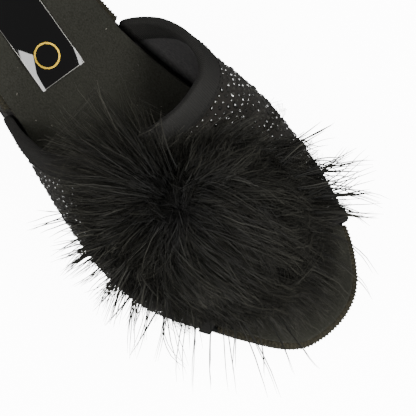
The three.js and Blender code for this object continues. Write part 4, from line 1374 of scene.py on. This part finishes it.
for i in range(rows):
    n = (i + 1) % rows
    faces.append((n * columns, i * columns, rows * columns))
    faces.append((i * columns + columns - 1, n * columns + columns - 1, rows * columns + 1))
faces = [f[::-1] for f in faces]
# The heart stands for the dense down inside the knot and takes the down's darkest colour, as painted shade.
darkest = np.zeros(len(heart_points))
heart = mesh_piece("pompom_heart", heart_points, faces, [marabou],
                   attributes={"along": darkest, "shade": darkest}, crease=180)
settle(heart, "marabou", "pompom")

# %% Guides combed outwards from the swirl
GUIDE_POINTS = 8
RIM_CLIMB = 0.05
# sides of the pompom, as bearings from the toe: the down is short on one, and wisps hang over another
TOE_SIDE = 0.0
SHORT_SIDE = math.radians(130)
WISP_SIDE = math.radians(197)
# how much of a barb's turn and lift it shares with its tuft
TUFT_SHARE = 0.6
DROOP = 3.0
# how far down reaches past the dome's rim: everywhere, and how much more at the toe, the sides and the wisps
RIM_REACHES = (3, 19, 5, 22)


def spread_over_dome(count, lowest, rng):
    """Directions spread evenly over the dome by the golden angle, then shaken."""
    k = np.arange(count)
    height = 1 - (1 - lowest) * (k + 0.5) / count
    flat = np.sqrt(1 - height ** 2)
    turn = k * math.pi * (3 - math.sqrt(5))
    start = np.stack([flat * np.cos(turn), flat * np.sin(turn), height], -1) + rng.normal(0, 0.05, (count, 3))
    return unit_of(start)


knot_plan = on_pompom(SWIRL, np.array(0.0))[:2]


def arc_of(start, away, angle):
    """Directions turned from a start by an angle, along a great circle."""
    return start * np.cos(angle)[:, None] + away * np.sin(angle)[:, None]


def share_toward(bearing, side):
    """1 for a bearing straight to a side, and 0 from square to it on."""
    return np.maximum(np.cos(bearing - side), 0)


def combed_guides(start, lengths, lifts, rng, turning=0.34, clump=0.68, tufts=64):
    """Guide lines that run away from the swirl over the dome, and gather into tufts. Past the dome's rim
    they run straight away from the knot, and what is too long for its side hangs down."""
    count = len(start)
    # each line leaves its start square to this axis, which runs round the swirl
    axis = np.cross(SWIRL, start)
    axis /= np.maximum(np.linalg.norm(axis, axis=1, keepdims=True), 1e-6)
    away = np.cross(axis, start)
    from_swirl = np.arccos(np.clip(start @ SWIRL, -1, 1))
    azimuth = np.arctan2(start[:, 1] - SWIRL[1], start[:, 0] - SWIRL[0])
    flow = 0.10 + 0.30 * np.sin(3 * azimuth + 4 * from_swirl) + 0.16 * np.sin(7 * azimuth - 3 * from_swirl)
    # each line belongs to the tuft of the leader that starts nearest to it
    leaders = rng.choice(count, tufts, replace=False)
    mine = leaders[np.linalg.norm(start[:, None] - start[leaders][None], axis=2).argmin(1)]
    twist = flow + rng.normal(0, turning + 0.7 * np.exp(-(from_swirl / 0.2) ** 2))
    twist = ((1 - TUFT_SHARE) * twist + TUFT_SHARE * twist[mine])[:, None]
    away = away * np.cos(twist) + axis * np.sin(twist)
    length = rng.uniform(*lengths, count)
    end = arc_of(start, away, length / POMPOM_RADIUS)
    facing = np.arctan2(end[:, 1], end[:, 0])
    length *= 1 - 0.6 * share_toward(facing, SHORT_SIDE) * smooth_step(1.3 - 1.5 * end[:, 2])
    length *= 1 + 0.5 * share_toward(facing, WISP_SIDE) ** 3
    length *= 1 + 0.35 * share_toward(facing, TOE_SIDE) ** 2
    lift = rng.uniform(*lifts, count)
    lift = (1 - TUFT_SHARE) * lift + TUFT_SHARE * lift[mine]
    lines = []
    everywhere, at_toe, at_sides, at_wisps = RIM_REACHES
    held, held_step = start, np.zeros(count)
    for step in np.linspace(0, 1, GUIDE_POINTS):
        here = arc_of(start, away, length * step / POMPOM_RADIUS)
        is_past = here[:, 2] < RIM_CLIMB
        held = np.where(is_past[:, None], held, here)
        held_step = np.where(is_past, held_step, step)
        past = length * (step - held_step)
        facing = np.arctan2(held[:, 1], held[:, 0])
        most = everywhere + at_toe * share_toward(facing, TOE_SIDE) + at_sides * np.abs(np.sin(facing))
        most += at_wisps * share_toward(facing, WISP_SIDE) ** 2
        outwards = most * (1 - np.exp(-past / most))
        flat_share = 1 - 0.9 * share_toward(facing, SHORT_SIDE) * (1 - held[:, 2])
        line = on_pompom(held, -5.0 - hollow_at(from_swirl) + lift * step ** 0.8 * flat_share)
        from_knot = line[:, :2] - knot_plan
        line[:, :2] += outwards[:, None] * from_knot / np.linalg.norm(from_knot, axis=1, keepdims=True)
        line[:, 2] -= DROOP * step ** 2 * (1 - held[:, 2]) + HANG_SHARE * (past - outwards)
        lines.append(line)
    lines = np.stack(lines, 1)
    pull = clump * rng.uniform(0.6, 1.0, count)[:, None, None]
    pull = pull * np.linspace(0, 1, GUIDE_POINTS)[:, None] ** 1.4
    return lines + pull * (lines[mine] - lines)


print("knot in the plan, mm:", knot_plan.round(1))

# %% Guides turned to down


def guide_piece(name, lines, material):
    """Lines of points as the loose edges of a mesh, each kept clear of the band."""
    count, steps = lines.shape[:2]
    room = np.tile(np.linspace(0.6, 2.2, steps), count)
    points = clear_of_band(lines.reshape(-1, 3), room)
    edges = [(i * steps + j, i * steps + j + 1) for i in range(count) for j in range(steps - 1)]
    mesh = bpy.data.meshes.new(name)
    mesh.from_pydata(to_frame(points).tolist(), edges, [])
    mesh.materials.append(material)
    return in_scene(name, mesh)


def grow(name, lines, tree, copies, root_spread, tip_spread, wave, width, seed):
    """Turns guide lines to barbs or hairs of marabou, by sizes in millimetres."""
    piece = guide_piece(name, lines, marabou)
    run_tree(piece, tree, Copies=copies, Root_spread=root_spread * MM, Tip_spread=tip_spread * MM,
             Wave=wave * MM, Width=width * MM, Seed=seed, Material=marabou)
    settle(piece, "marabou")


# %% Barbs: under-fluff, two layers over it, a thin top layer of longer ones, and the knot at the swirl
GUIDES = 420
for name, seed, count, lengths_mm, lifts, toe_room, spread_mm, width_mm in (
        ("down_under", 3, GUIDES, (14, 24), (2.0, 5.5), 9, 3.0, 0.30),
        ("down_middle", 5, GUIDES, (18, 32), (3.5, 8.5), 7, 2.8, 0.26),
        ("down_outer", 8, GUIDES, (22, 42), (5.0, 12.0), 5, 2.6, 0.24),
        ("down_top", 12, GUIDES // 3, (32, 66), (7.0, 13.0), 2, 3.2, 0.22),
        ("down_knot", 15, GUIDES // 7, (7, 15), (0.0, 6.0), 9, 2.0, 0.24)):
    rng = np.random.default_rng(seed)
    starts = spread_over_dome(count, 0.02, rng)
    if name == "down_knot":
        starts = unit_of(SWIRL + rng.normal(0, 0.13, (count, 3)))
        lines = combed_guides(starts, lengths_mm, lifts, rng, turning=1.5, clump=0.5, tufts=14)
    else:
        lines = combed_guides(starts, lengths_mm, lifts, rng)
    lines = ended_at_toe(lines, toe_room + rng.gamma(1.6, 3.0, len(lines)))
    lines = drawn_in(lines, lateral_inset=6.5, medial_inset=1.5, margin=2.5)
    grow(name, lines, fluff_tree, copies=32, root_spread=spread_mm * 0.8, tip_spread=spread_mm, wave=5.0,
         width=width_mm, seed=seed)

# %% Wisps on the heel's side of the knot, which lie out over the ribbon and the sock
WISPS = 110
WISP_BEARING, WISP_FAN = 191.0, 17.0
rng = np.random.default_rng(27)
knot_point = on_level(172, 200, 65)
turn = np.radians(WISP_BEARING + WISP_FAN * np.clip(rng.normal(0, 1, WISPS), -1.5, 2))[:, None]
share = np.linspace(0, 1, GUIDE_POINTS)[None]
near = rng.uniform(3, 14, (WISPS, 1))
far = np.minimum(28 + rng.gamma(2.0, 7.5, (WISPS, 1)), 58)
reach = near + (far - near) * share
bend = rng.normal(0, 0.14, (WISPS, 1)) * share ** 1.5
height = knot_point[2] + 2 - (knot_point[2] + 2 - rng.uniform(40, 54, (WISPS, 1))) * share ** 1.6
wisp_x = knot_point[0] + reach * np.cos(turn + bend)
wisp_y = knot_point[1] + reach * np.sin(turn + bend)
wisp_lines = np.stack([wisp_x, wisp_y, height], -1)
wisp_lines = drawn_in(wisp_lines, lateral_inset=4.0, medial_inset=1.5, margin=4.0)
grow("down_wisps", wisp_lines, fluff_tree, copies=24, root_spread=2.6, tip_spread=3.4, wave=6.0, width=0.24,
     seed=27)

# %% [markdown]
# ### Stray hairs
#
# Against the white ground the photograph shows single long barbs past the edge of the down. The
# longest were read off it one by one, as lines between two pixels at a likely height. The others are
# scattered round the rim.

# %% Long single hairs
# A real barb is about 0.1 mm thick, too fine to show against a bright ground, so it is drawn coarser.
HAIR_WIDTH = 0.56
# from x, y, to x, y, in pixels, and the heights of both ends in millimetres
LONG_HAIRS = [
    (60, 213, 42, 211, 40, 36), (82, 238, 65, 243, 38, 30), (82, 242, 65, 266, 36, 26),
    (93, 256, 66, 276, 36, 24), (103, 278, 52, 322, 36, 30), (106, 280, 73, 334, 34, 26),
    (115, 287, 99, 343, 32, 22), (130, 301, 131, 335, 32, 20), (139, 299, 147, 345, 32, 22),
    (145, 335, 186, 372, 26, 20), (179, 325, 181, 380, 28, 18), (187, 327, 192, 388, 28, 18),
    (208, 349, 213, 388, 24, 15), (265, 349, 262, 378, 22, 14), (299, 349, 317, 366, 22, 14),
    (301, 139, 323, 129, 60, 62), (306, 143, 334, 143, 58, 58), (321, 159, 372, 161, 52, 52),
    (327, 175, 380, 168, 50, 52), (339, 184, 370, 149, 46, 52), (347, 186, 380, 198, 42, 36),
    (349, 208, 367, 223, 38, 30), (354, 232, 377, 272, 34, 22), (360, 266, 370, 299, 28, 18),
    (150, 315, 120, 372, 32, 20), (222, 340, 232, 392, 24, 15), (240, 345, 236, 370, 24, 15),
    (281, 347, 292, 372, 22, 14), (93, 262, 62, 300, 36, 26), (122, 292, 84, 350, 34, 24),
    (125, 172, 98, 82, 66, 58), (112, 170, 62, 112, 60, 50), (122, 162, 84, 116, 64, 54),
    (135, 158, 121, 98, 66, 60), (143, 156, 127, 122, 66, 62), (106, 174, 72, 140, 56, 48),
    (150, 150, 146, 104, 66, 62), (160, 146, 166, 112, 66, 62),
]
LOWEST_Y, HIGHEST_Y, FURTHEST_X = -45.5, 69.0, 252.0


def kept_short(line):
    """Shortens a hair from its root, keeping its run, where it would reach past the three limits."""
    reach = line - line[0]
    most = np.array([FURTHEST_X, HIGHEST_Y, -LOWEST_Y]) - line[0][[0, 1, 1]] * (1, 1, -1)
    furthest = np.array([reach[:, 0].max(), reach[:, 1].max(), -reach[:, 1].min()])
    return line[0] + reach * min(1.0, (most / np.maximum(furthest, 1e-6)).min())


rng = np.random.default_rng(21)
middle_point = on_pompom(np.array([0.0, 0.0, 0.3]), np.array(0.0))
share = np.linspace(0, 1, GUIDE_POINTS)[:, None]
lines = []
for px, py, qx, qy, z_low, z_high in LONG_HAIRS:
    first, last = on_level(px, py, z_low), on_level(qx, qy, z_high)
    root = first + (middle_point - first) * 0.28 + (0, 0, 4)
    bow = rng.normal(0, 0.06, 3) * np.linalg.norm(last - root)
    middle = first * 0.8 + last * 0.2 + bow
    line = (1 - share) ** 2 * root + 2 * share * (1 - share) * middle + share ** 2 * last
    lines.append(kept_short(line))
grow("long_single_hairs", np.array(lines), hair_tree, copies=2, root_spread=0.6, tip_spread=1.8, wave=2.5,
     width=HAIR_WIDTH, seed=4)

# %% Shorter stray hairs round the rim
# bearing from the swirl in degrees, and twice the number of guide lines about it
STRAY_PLACES = [(-130, 5), (-114, 11), (-101, 22), (-88, 26), (-74, 26), (-60, 18), (-44, 12), (-30, 5),
                (-12, 2), (22, 3), (40, 6), (53, 14), (65, 20), (75, 9)]
swirl_point = on_pompom(SWIRL, np.array(-4.0))
reaches = np.arange(10, 75, 0.5)
rng = np.random.default_rng(33)
lines = []
for bearing_degrees, count in STRAY_PLACES:
    for _ in range(count // 2):
        turn = math.radians(bearing_degrees + rng.normal(0, 6))
        direction = np.array([math.cos(turn), math.sin(turn), 0.0])
        ray = swirl_point + reaches[:, None] * direction
        is_out = (ray[:, 1] > upper_side(ray[:, 0], 1)) | (ray[:, 1] < upper_side(ray[:, 0], -1))
        is_out |= ray[:, 0] > SOLE_LENGTH
        edge_at = reaches[is_out.argmax()] if is_out.any() else 40.0
        inside = rng.uniform(8, 16)
        outside = min(rng.gamma(2.4, 5.0), 26)
        height = rng.uniform(14, 40)
        side_step = np.array([-direction[1], direction[0], 0.0]) * rng.normal(0, 0.18)
        line = swirl_point + (edge_at - inside + (inside + outside) * share) * direction
        line += side_step * (inside + outside) * share ** 2
        line[:, 2] = (height + 9 - (13 + rng.normal(0, 6)) * share ** 1.5)[:, 0]
        lines.append(kept_short(line))
grow("stray_hairs", np.array(lines), hair_tree, copies=3, root_spread=0.6, tip_spread=2.6, wave=2.0,
     width=HAIR_WIDTH, seed=9)

# %% [markdown]
# ## Studio
#
# The photograph's ground is hundreds of times brighter than the black shoe on it. Such a ground is a
# sheet of opal acrylic lit from behind: a floor that gives off light of its own. It is kept out of the
# shoe's own reflections, as flags beside the set would do, so that the shoe's sides stay dark. Over the
# shoe there are a faint soft light all round and three softboxes, two at the sides and one beyond the
# toe, so that the gloss foil mirrors a dark ceiling and shows white only along its bent edge.

# %% Floor and lights
FLOOR = 3000.0
FLOOR_HEIGHT = -0.3
FLOOR_GLOW = 11.0
SOFT_LIGHT = 0.26
floor_paint, _, _ = new_material("opal_acrylic", Base_Color=linear("#f4f4f3"), Roughness=0.9,
                                 Specular_IOR_Level=0.0, Emission_Color=linear("#ffffff"),
                                 Emission_Strength=FLOOR_GLOW)
corners = [(x * FLOOR, y * FLOOR, FLOOR_HEIGHT) for x, y in ((-1, -1), (1, -1), (1, 1), (-1, 1))]
floor = mesh_piece("studio_floor", np.array(corners), [(0, 1, 2, 3)], [floor_paint])
floor.visible_diffuse = False
floor.visible_glossy = False
floor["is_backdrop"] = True

world = bpy.data.worlds.new("studio")
world.use_nodes = True
background = world.node_tree.nodes["Background"]
background.inputs["Color"].default_value = (1, 1, 1, 1)
background.inputs["Strength"].default_value = SOFT_LIGHT
bpy.context.scene.world = world


def softbox(name, place, target, size, power):
    data = bpy.data.lights.new(name, "AREA")
    data.shape = "RECTANGLE"
    data.size, data.size_y = size
    data.energy = power
    light = in_scene(name, data)
    light.location = to_frame(place)
    towards = Vector(to_frame(target) - to_frame(place))
    light.rotation_euler = towards.to_track_quat("-Z", "Y").to_euler()
    print(f"{name}: {power} W, {towards.length:.2f} m away")


softbox("left_box", (-100, -950, 900), (120, 0, 30), (0.7, 0.9), 23)
softbox("right_box", (425, 606, 998), (70, 0, 30), (0.7, 0.45), 19)
softbox("toe_strip", (1000, -200, 500), (180, 0, 30), (0.5, 0.2), 11)

# %% How far the visual model stands out of the CAD box
new_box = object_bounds()
grown = [round(v / MM, 1) for v in (*(cad_box[0] - new_box[0]), *(new_box[1] - cad_box[1]))]
print("the visual model stands out of the CAD box by, mm:", grown)
